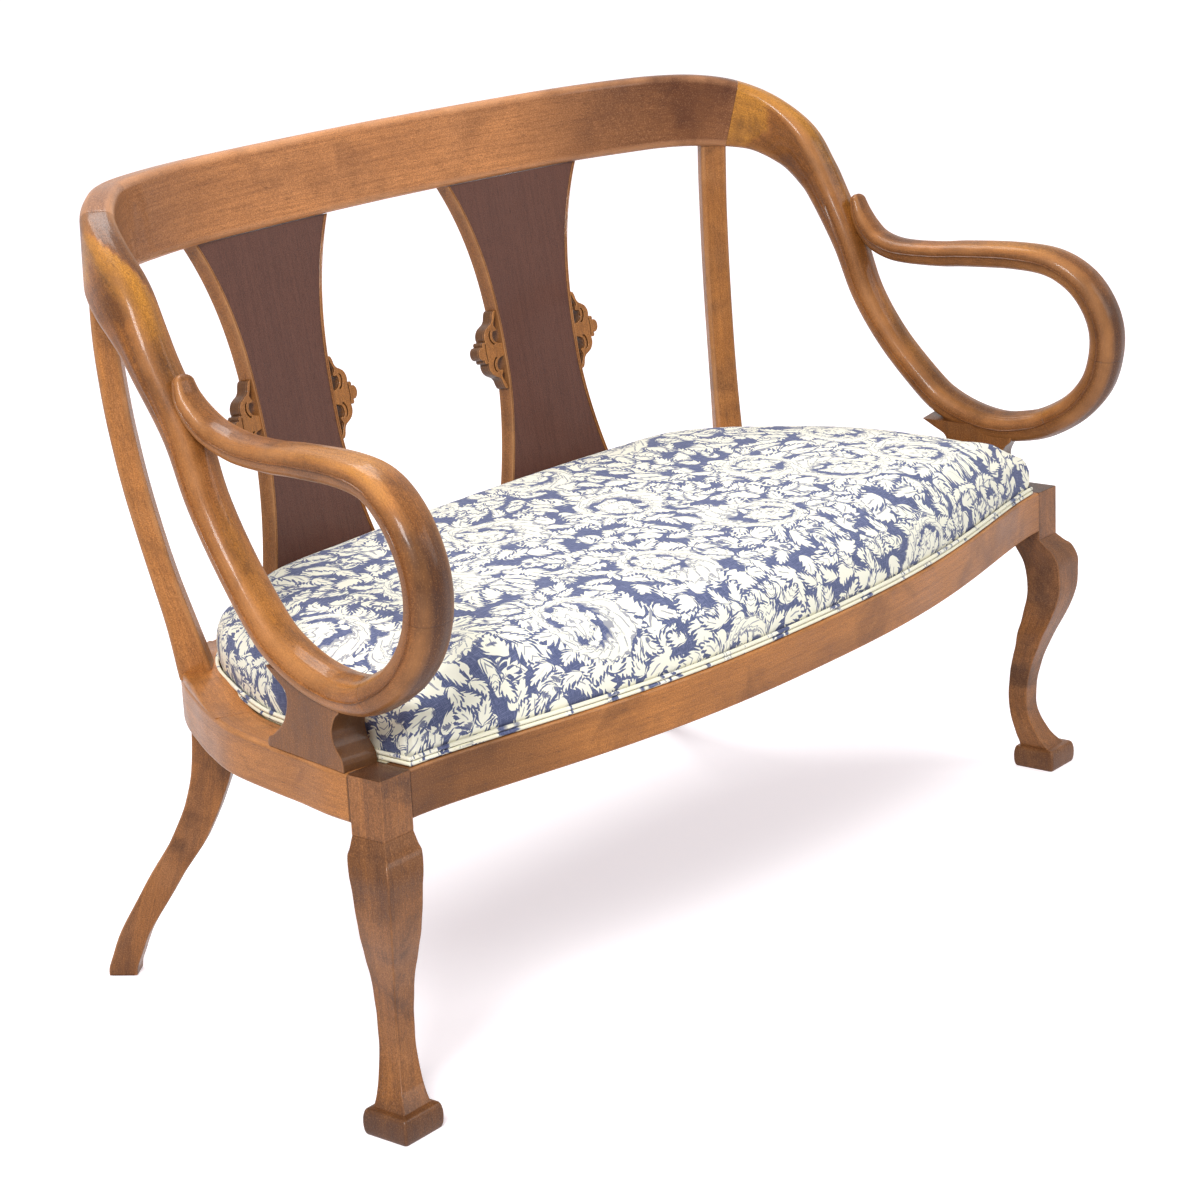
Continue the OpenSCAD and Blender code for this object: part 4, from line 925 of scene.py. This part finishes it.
def wood(name, light, deep, edge, gloss=0.42, coat=0.2, blotch=1.0):
    """Varnished wood with figure, streaks, pores and aged patches; worn edges with painted highlight, dark joint lines
    with painted shade, and painted light and shade as the skin says.
    """
    g = new_material(name)
    at = g.attr("grain")
    wear_and_highlight, joint_line_and_shade, shade = (g.attr(key, "Fac") for key in ("edge", "dark", "tone"))
    figure = g.noise(at * (2.6, 30.0, 30.0) + g.noise(at, 8.0, 2.0, output="Color") * 1.1, 1.0, 5.0, 0.6, 0.3)
    streak = g.noise(at * (7.0, 300.0, 300.0), 1.0, 4.0, 0.65)
    pores = g.noise(at * (90.0, 1300.0, 1300.0), 1.0, 2.0, 0.6).range(0.58, 0.70)
    patch = g.noise(at, 13.0, 3.0, 0.6)
    speck = g.noise(at, 700.0, 3.0, 0.8)
    colour = g.mix(figure.range(0.32, 0.72, 0.0, 0.7 * blotch), light, deep)
    colour = g.mix(streak.range(0.42, 0.75) * 0.45, colour, deep)
    colour = g.mix(patch.range(0.45, 0.75, 0.0, 0.3 * blotch), colour, edge)
    # Painted golden light where the tone is below 0
    painted_gold_light = g.mix(figure.range(0.35, 0.7), rgb(230, 158, 56), rgb(150, 98, 34))
    colour = g.mix(shade.range(0.0, -1.0) * patch.range(0.3, 0.6, 0.95, 0.7), colour, painted_gold_light)
    aged = g.noise(at, 12.0, 5.0, 0.65, 0.6).range(0.48, 0.66, 0.0, 0.6 * blotch)
    # Painted shade, and on some pieces a plain darker tone, where the tone is above 0, mixed with aged patches
    painted_shading = (shade | 0.0) * patch.range(0.3, 0.6, 1.0, 0.74)
    colour = g.mix(aged | painted_shading, colour, darker(deep, 0.6))
    colour = g.mix(speck.range(0.42, 0.62, 0.0, 0.5), colour, darker(deep, 0.7))
    colour = g.mix(speck.range(0.46, 0.3, 0.0, 0.3), colour, edge)
    colour = g.mix(pores * 0.5, colour, darker(deep, 0.35))
    # Lighter edges: partly real wear, partly painted highlight
    colour = g.mix(wear_and_highlight * patch.range(0.3, 0.62, 0.1, 0.5), colour, edge)
    # Dark joint lines, and painted shade on the sides of the carvings
    colour = g.mix(joint_line_and_shade * 0.8, colour, rgb(40, 24, 18))
    height = streak * 0.35 - pores * 0.8 + speck * 0.5
    rough = (patch + speck * 0.5).range(0.55, 0.95, gloss - 0.06, gloss + 0.12)
    return g.surface("BsdfPrincipled", Base_Color=colour, Roughness=rough, Normal=g.bump(height, 0.0003, 0.6),
                     Coat_Weight=coat, Coat_Roughness=0.12, Coat_IOR=1.5, IOR=1.45, Specular_IOR_Level=0.2)


def turned_by(g, vector, angle):
    """Vector seen from axes that are turned by an angle."""
    x, y, _ = g.parts(vector)
    c, s = g.math("COSINE", angle), g.math("SINE", angle)
    return x * c + y * s, y * c - x * s


MEDALLIONS = 5.4  # cells per metre, each with one medallion


def medallion(g, at):
    """Place of a point of the cloth relative to the middle of the nearest medallion, and a number of its own."""
    middle, own = g.cells(at * MEDALLIONS, 0.5)
    return (at * MEDALLIONS - middle) * (1 / MEDALLIONS), own[0]


def leaves(g, place, scale, shift, length, width, teeth, lean):
    """One layer of serrated leaves that curl round the medallions: how far inside a leaf, and its veins."""
    at = place * scale + shift
    cell, own = g.cells(at, 0.62)
    mx, my, _ = g.parts(medallion(g, (cell - shift) * (1 / scale))[0])
    angle = g.math("ARCTAN2", my, mx) + g.math("MULTIPLY_ADD", own[0], 1.3, lean)
    x, y = turned_by(g, at - cell, angle)
    reach = abs(y - x * x * ((own[1] - 0.5) * 1.6))
    share = x / length
    round_end = g.math("SQRT", (1.0 - share * share) | 0.0)
    half = round_end * (1.0 - share * 0.42) * width
    comb = g.math("FRACT", x * teeth - reach * (teeth * 0.75))
    fine = g.noise(place, 260.0, 1.0, 0.5) - 0.5
    tooth = (comb - 0.62) * (round_end.range(0.0, 0.4) * 0.13)
    over = ((abs(share) - 1.0) | 0.0) * length
    inside = half + tooth - reach - over + fine * 0.10
    rib = (reach + fine * 0.02).range(0.024, 0.016) * (abs(share).range(0.45, 0.35) * own[2].range(0.5, 0.48))
    nerve = abs(comb - 0.5).range(0.10, 0.06) * (reach - half * 0.6).range(0.02, 0.0)
    return inside, rib | (nerve * own[2].range(0.8, 0.82))


# Layers of leaves: leaves per metre, shift, length, width, teeth, lean
LEAF_LAYERS = ((20.0, (0.3, 0.7, 0.0), 0.50, 0.31, 5.0, 0.4), (24.0, (4.1, 2.6, 0.0), 0.48, 0.26, 4.6, 1.2),
               (27.0, (8.5, 6.2, 0.0), 0.44, 0.21, 4.4, -0.7))
SMALL_LEAVES = (60.0, (1.3, 5.4, 0.0), 0.5, 0.27, 4.0, 0.9)
# Rings of a medallion: radius and half of the line, in metres
RING_LINES = ((0.0495, 0.0010), (0.0385, 0.0008), (0.034, 0.0016), (0.021, 0.0008))


def print_colour(g, at):
    """Colour of the print, and the height of its threads: leaves, medallions and sprigs on a denim ground."""
    flat = at * (1.0, 1.0, 0.0)
    drift, ripple = (g.noise(flat, scale, 1.0, output="Color") - (0.5, 0.5, 0.5) for scale in (8.0, 45.0))
    bent = (flat + (drift * 0.05 + ripple * 0.010)) * (1.0, 1.0, 0.0)
    cover = dark = None
    for layer in LEAF_LAYERS:
        inside, veins = leaves(g, bent, *layer)
        here = inside.range(0.0, 0.01)
        veins = veins * here
        if cover:
            clear = inside.range(-0.095, -0.105)
            cover, dark = (cover * clear) | here, (dark * clear) | veins
        else:
            cover, dark = here, veins
    # Medallions: a drop with serrated rings, filled with a flower and sprigs
    jag = g.noise(flat, 230.0, 1.0, 0.6) - 0.5
    local, own = medallion(g, bent)
    far = g.vec("LENGTH", local)
    lx, ly, _ = g.parts(local)
    swirl = g.math("ARCTAN2", ly, lx) + g.math("MULTIPLY_ADD", far, 20.0, own * 6.283)
    drop = far * g.math("MULTIPLY_ADD", g.math("COSINE", swirl), 0.34, 1.0)
    edge = drop + g.math("MULTIPLY_ADD", abs(g.math("SINE", swirl * 9.0)), 0.0035, jag * 0.006)
    within = edge.range(0.0505, 0.0500)
    rings = None
    for size, thick in RING_LINES:
        line = abs(edge - size).range(thick, thick * 0.6)
        rings = rings | line if rings else line
    spoke = abs(g.math("FRACT", g.math("MULTIPLY_ADD", swirl, 16.0 / 6.2832, drop * 60.0)) - 0.5)
    dashes = spoke.range(0.16, 0.10) * (edge.range(0.0375, 0.037) * edge.range(0.0355, 0.036))
    rays = spoke.range(0.10, 0.05) * (edge.range(0.047, 0.046) * edge.range(0.0395, 0.041))
    bloom = far * g.math("MULTIPLY_ADD", g.math("SINE", swirl * 5.0), 0.3, 1.0)
    bloom = g.math("MULTIPLY_ADD", jag, 0.003, bloom)
    flower, heart = abs(bloom - 0.0105).range(0.0014, 0.0008), bloom.range(0.0045, 0.0036)
    inner_dark = (rings | rays) | (dashes | (flower | heart))
    blue_band = edge.range(0.0335, 0.0325) * edge.range(0.0225, 0.0235)
    small = leaves(g, bent, *SMALL_LEAVES)[0]
    inner_cover = 1.0 - blue_band * (1.0 - small.range(0.0, 0.02))
    cover, dark = (g.get("Mix", {0: within, 2: a, 3: b}, data_type="FLOAT")
                   for a, b in ((cover, inner_cover), (dark, inner_dark)))
    # Sprigs of small blue leaves on the cream
    petals = small.range(0.07, 0.09) * (g.noise(flat, 21.0, 1.0).range(0.60, 0.62) * (1.0 - within))
    threads = g.noise(flat * (90.0, 1100.0, 0.0), 1.0, 2.0) | g.noise(flat * (1100.0, 90.0, 0.0), 1.0, 2.0)
    blue = g.mix(threads.range(0.50, 0.72, 0.0, 0.6), rgb(80, 89, 126), rgb(146, 152, 188))
    colour = g.mix(cover, blue, rgb(255, 252, 234))
    colour = g.mix(petals * 0.9, colour, blue)
    return g.mix(dark * 0.7, colour, rgb(88, 94, 134)), threads


def weave(g, at, threads):
    """Height of a plain weave."""
    across, up, _ = g.parts(at)
    return g.math("SINE", across * threads) * g.math("SINE", up * threads)


def printed_cloth(name, cord=False):
    """Woven cloth with a flowing print of serrated leaves and medallions, denim blue on cream."""
    g = new_material(name)
    at = g.attr("cloth")
    colour, threads = print_colour(g, at)
    if cord:
        colour = g.mix(g.noise(at, 42.0, 1.0).range(0.54, 0.58), rgb(250, 246, 222), colour)
    cross = weave(g, at, 7400.0)
    colour = g.mix(cross.range(-1.0, 1.0, 0.0, 0.03), colour, rgb(150, 150, 160))
    return g.surface("BsdfPrincipled", Base_Color=colour, Roughness=0.86,
                     Normal=g.bump(cross * 0.5 + threads * 0.6, 0.0002, 0.35), Sheen_Weight=0.1, Sheen_Roughness=0.5,
                     Specular_IOR_Level=0.25)


def inner_wood(name, light, deep, along):
    """Unfinished wood on a part of the frame, with its grain along the given axis."""
    g = new_material(name)
    at = g.get("TexCoord", (), "Object") * tuple(2.5 if k == along else 38.0 for k in range(3))
    figure = g.noise(at, 1.0, 5.0, 0.6, 0.6)
    fine = g.noise(at * (22.0, 22.0, 22.0), 1.0, 2.0, 0.6)
    colour = g.mix(figure.range(0.3, 0.7), light, deep)
    colour = g.mix(fine.range(0.5, 0.75) * 0.35, colour, darker(deep, 0.6))
    return g.surface("BsdfPrincipled", Base_Color=colour, Roughness=fine.range(0.3, 0.7, 0.6, 0.75),
                     Normal=g.bump(fine, 0.0002, 0.5))


def plain_cloth(name, light, deep, threads):
    g = new_material(name)
    at = g.get("TexCoord", (), "Object")
    cross = weave(g, at, threads)
    slub = g.noise(at * (30.0, 600.0, 30.0), 1.0, 3.0)
    colour = g.mix(slub.range(0.3, 0.7), light, deep)
    colour = g.mix(cross.range(-1.0, 1.0, 0.0, 0.4), colour, darker(deep, 0.7))
    return g.surface("BsdfPrincipled", Base_Color=colour, Roughness=0.9, Normal=g.bump(cross + slub, 0.0003, 0.4))


def steel(name):
    g = new_material(name)
    scratch = g.noise(g.get("TexCoord", (), "Object") * (900.0, 900.0, 60.0), 1.0, 3.0)
    return g.surface("BsdfPrincipled", Base_Color=g.mix(scratch, rgb(176, 174, 168), rgb(132, 130, 126)), Metallic=1.0,
                     Roughness=scratch.range(0.3, 0.7, 0.3, 0.45), Normal=g.bump(scratch, 0.0001, 0.4))


# Woods and prints

CREST_WOOD = wood("crest_wood", rgb(228, 153, 92), rgb(109, 61, 34), rgb(230, 168, 122), blotch=0.5)
ARM_WOOD = wood("arm_wood", rgb(182, 112, 48), rgb(78, 43, 22), rgb(200, 138, 84))
RAIL_WOOD = wood("rail_wood", rgb(214, 138, 66), rgb(97, 57, 32), rgb(212, 150, 98), blotch=0.75)
LEG_WOOD = wood("leg_wood", rgb(188, 121, 62), rgb(78, 47, 32), rgb(196, 140, 98), blotch=1.2)
POST_WOOD = wood("post_wood", rgb(204, 132, 64), rgb(101, 61, 34), rgb(204, 148, 100), blotch=0.8)
SPLAT_WOOD = wood("splat_wood", rgb(180, 114, 55), rgb(83, 47, 28), rgb(196, 144, 96), blotch=0.8)
PANEL_WOOD = wood("panel_wood", rgb(108, 70, 58), rgb(70, 43, 38), rgb(124, 85, 71), gloss=0.4, coat=0.14, blotch=0.15)
CARVED_WOOD = wood("carved_wood", rgb(198, 130, 66), rgb(93, 57, 36), rgb(212, 152, 96), blotch=0.6)
PRINT = printed_cloth("seat_print")
CORD_PRINT = printed_cloth("cord_print", cord=True)


# Pieces

def place(skin, name, wood_of, node=None, slot="wood", angle=32):
    """Put a wooden piece in the scene, in place of a solid of the part."""
    ob = skin.mesh(name, angle)
    ob.data.materials.append(wood_of)
    ob.modifiers.new("normals", "WEIGHTED_NORMAL").keep_sharp = True
    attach(ob, "root")
    if node:
        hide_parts(node)


def pair(skin, name, wood_of, slot="wood", angle=32, deeper_shade=0.0):
    """Right piece and its mirrored copy. The painted shade of the left copy can be deeper."""
    for side, copy in (("right", skin), ("left", skin.mirrored())):
        if deeper_shade and side == "left":
            painted_shading = copy.data[:, TONE]
            copy.data[:, TONE] = np.where(painted_shading > 0, mix(painted_shading, 1.0, deeper_shade), painted_shading)
        place(copy, "%s_%s_fine" % (name, side), wood_of, "%s_%s" % (name, side), slot, angle)


place(bent_bar(0, CORNER_ROW, left_to_middle=True, ends=(0, 0)), "crest_rail_fine", CREST_WOOD, "crest_rail")

corner = bent_bar(CORNER_ROW, SWEEP_ROW, ends=(0, 0.4))
place(corner, "crest_corner_right_fine", CREST_WOOD, "crest_corner_right")
corner = corner.mirrored()
# Painted shade in the left corner, growing towards the arm
corner.data[:, TONE] = 0.5 + 0.3 * ease((corner.data[:, 0] - OTHER_WOOD[0] - RUN[CORNER_ROW * FINE]) / 90)
place(corner, "crest_corner_left_fine", CREST_WOOD, "crest_corner_left")

sweep = bent_bar(SWEEP_ROW, BOW_ROW, ends=(0.5, 0.35))
place(sweep, "arm_sweep_right_fine", ARM_WOOD, "arm_sweep_right")
sweep = sweep.mirrored()
# Left sweep: less painted shade and a little less painted golden light, and darker in a wedge where the top rail's wood
# runs down to a point over its start
start, stop = RUN[SWEEP_ROW * FINE], RUN[(SWEEP_ROW + 1) * FINE]
along = (sweep.data[:, 0] - OTHER_WOOD[0] - start) / (stop - start)
covered = ease((3.4 * (0.5 + (sweep.data[:, 1] - OTHER_WOOD[1]) / ARM_W) - along) / 0.15)
tone = sweep.data[:, TONE]
sweep.data[:, TONE] = mix(np.where(tone > 0, 0.4, 0.8) * tone, 0.65, covered)
place(sweep, "arm_sweep_left_fine", ARM_WOOD, "arm_sweep_left")

pair(bent_bar(BOW_ROW, BOW_JOINT_ROW, ends=(0.35, 0.4)), "arm_bow_lower", ARM_WOOD, deeper_shade=0.35)
pair(bent_bar(BOW_JOINT_ROW, TIP_ROW, ends=(0.4, 0)), "arm_bow_upper", ARM_WOOD, deeper_shade=0.35)
pair(bent_bar(TIP_ROW, LAST_ROW, end_cap=True, ends=(0, 0)), "arm_tip", ARM_WOOD)
pair(arm_saddle(), "arm_saddle", RAIL_WOOD)
pair(rear_post(), "rear_post", POST_WOOD)
pair(rear_leg(), "rear_leg", LEG_WOOD)
pair(front_leg(), "front_leg", LEG_WOOD, angle=40)
pair(side_rail(), "side_rail", RAIL_WOOD)
place(front_rail(), "front_rail_fine", RAIL_WOOD, "front_rail")
place(back_rail(), "back_rail_fine", RAIL_WOOD, "back_rail")
pair(splat(), "splat", SPLAT_WOOD)
pair(splat_panel(), "splat_panel", PANEL_WOOD, "dark_wood")
for inner, word in ((False, "outer"), (True, "inner")):
    carving = ornament(inner)
    for side, skin in (("right", carving), ("left", carving.mirrored())):
        node = "ornament_%s_%s" % (side, word)
        place(skin, node + "_fine", CARVED_WOOD, node, angle=35)
pad = corner_pad()
for side, skin in (("right", pad), ("left", pad.mirrored())):
    place(skin, "corner_pad_" + side, RAIL_WOOD)

seat = cushion()
seat.data.materials.append(PRINT)
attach(seat, "root")
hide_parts("seat_cushion")
for k, (height, out) in enumerate(((2.3, -0.3), (7.4, -0.2))):
    cord = welt(height, out, "welt_%d" % k)
    cord.data.materials.append(CORD_PRINT)
    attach(cord, "root")

FRAME_X = inner_wood("frame_wood_x", rgb(214, 180, 134), rgb(170, 130, 88), 0)
FRAME_Y = inner_wood("frame_wood_y", rgb(210, 176, 130), rgb(168, 128, 86), 1)
DOWEL = inner_wood("dowel_wood", rgb(222, 190, 146), rgb(190, 152, 106), 0)
KEPT = {"corner_block": FRAME_X, "cross_rail": FRAME_Y, "slip_bar_front": FRAME_X, "slip_bar_back": FRAME_X,
        "slip_bar": FRAME_Y, "frame_dowels": DOWEL, "upright_dowels": DOWEL,
        "webbing": plain_cloth("webbing", rgb(190, 168, 128), rgb(146, 122, 86), 1600.0),
        "seat_deck": plain_cloth("deck_cloth", rgb(226, 216, 190), rgb(200, 188, 158), 5200.0),
        "dust_cover": plain_cloth("dust_cloth", rgb(62, 60, 60), rgb(38, 37, 38), 4200.0),
        "seat_screws": steel("screw_steel")}
for node_name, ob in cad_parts.items():
    for key, material in KEPT.items():
        if node_name.startswith(key):
            ob.data.materials.clear()
            ob.data.materials.append(material)
            break


# Camera, light and floor

def turned(yaw, pitch, roll):
    f = Vector((math.sin(yaw) * math.cos(pitch), math.cos(yaw) * math.cos(pitch), -math.sin(pitch)))
    r = Vector((math.cos(yaw), -math.sin(yaw), 0))
    u = r.cross(f)
    r, u = math.cos(roll) * r + math.sin(roll) * u, -math.sin(roll) * r + math.cos(roll) * u
    return Matrix(((r.x, u.x, -f.x), (r.y, u.y, -f.y), (r.z, u.z, -f.z)))


camera = bpy.data.objects.new("camera", bpy.data.cameras.new("camera"))
bpy.context.scene.collection.objects.link(camera)
camera.data.lens, camera.data.sensor_width = 89.25, 36
camera.data.clip_start, camera.data.clip_end = 0.1, 60
camera.matrix_world = Matrix.Translation((-2.5324, -2.0437, 1.3052)) @ turned(
    math.radians(51.09), math.radians(16.42), math.radians(-2.73)).to_4x4()
bpy.context.scene.camera = camera

LAMPS = (("key_light", (-3.2, -1.7, 3.1), (0.0, 0.0, 0.4), 1.2, 160),
         ("back_light", (0.5, 1.2, 3.3), (0.0, 0.0, 0.4), 1.5, 60),
         ("front_light", (1.8, -3.2, 2.2), (0.3, 0.0, 0.3), 1.8, 34))
for name, at, aim, size, power in LAMPS:
    lamp = bpy.data.lights.new(name, "AREA")
    lamp.shape, lamp.size, lamp.energy = "SQUARE", size, power
    ob = bpy.data.objects.new(name, lamp)
    bpy.context.scene.collection.objects.link(ob)
    ob.location = at
    ob.rotation_euler = (Vector(aim) - Vector(at)).to_track_quat("-Z", "Y").to_euler()

WORLD_LIGHT = 0.28  # light on the object from a backdrop that is shown as white


def seen_directly(g):
    """1 for what the camera, a mirror or glass shows, and 0 for the light on the object."""
    camera_ray, glossy_ray, clear_ray = (g.get("LightPath", (), "Is %s Ray" % kind)
                                         for kind in ("Camera", "Glossy", "Transmission"))
    return camera_ray | (glossy_ray | clear_ray)


sky = Graph(bpy.data.worlds.new("studio"), "OutputWorld")
sky.surface("Background", Color=(1, 1, 1), Strength=seen_directly(sky).range(0.0, 1.0, WORLD_LIGHT, 1.0))
bpy.context.scene.world = sky.owner
bpy.context.scene.view_settings.view_transform = "Standard"

FLOOR_HALF = 14
g = new_material("floor")
at = g.get("TexCoord", (), "Object")
pale = g.mix(g.noise(at, 3.0, 3.0), (0.80, 0.795, 0.80), (0.78, 0.775, 0.785))
glow = seen_directly(g) * g.vec("LENGTH", at).range(1.2, 4.0, 0.6, 0.95)
both = g.add("AddShader", (g.add("BsdfDiffuse", {"Color": pale}).outputs[0],
                           g.add("Emission", {"Color": (1.0, 0.91, 0.955), "Strength": glow}).outputs[0]))
g.put(g.out.inputs[0], both.outputs[0])
floor_mesh = bpy.data.meshes.new("floor")
floor_mesh.from_pydata([(x * FLOOR_HALF, y * FLOOR_HALF, 0) for x, y in ((-1, -1), (1, -1), (1, 1), (-1, 1))], [],
                       [(0, 1, 2, 3)])
floor = bpy.data.objects.new("floor", floor_mesh)
bpy.context.scene.collection.objects.link(floor)
floor.data.materials.append(g.owner)
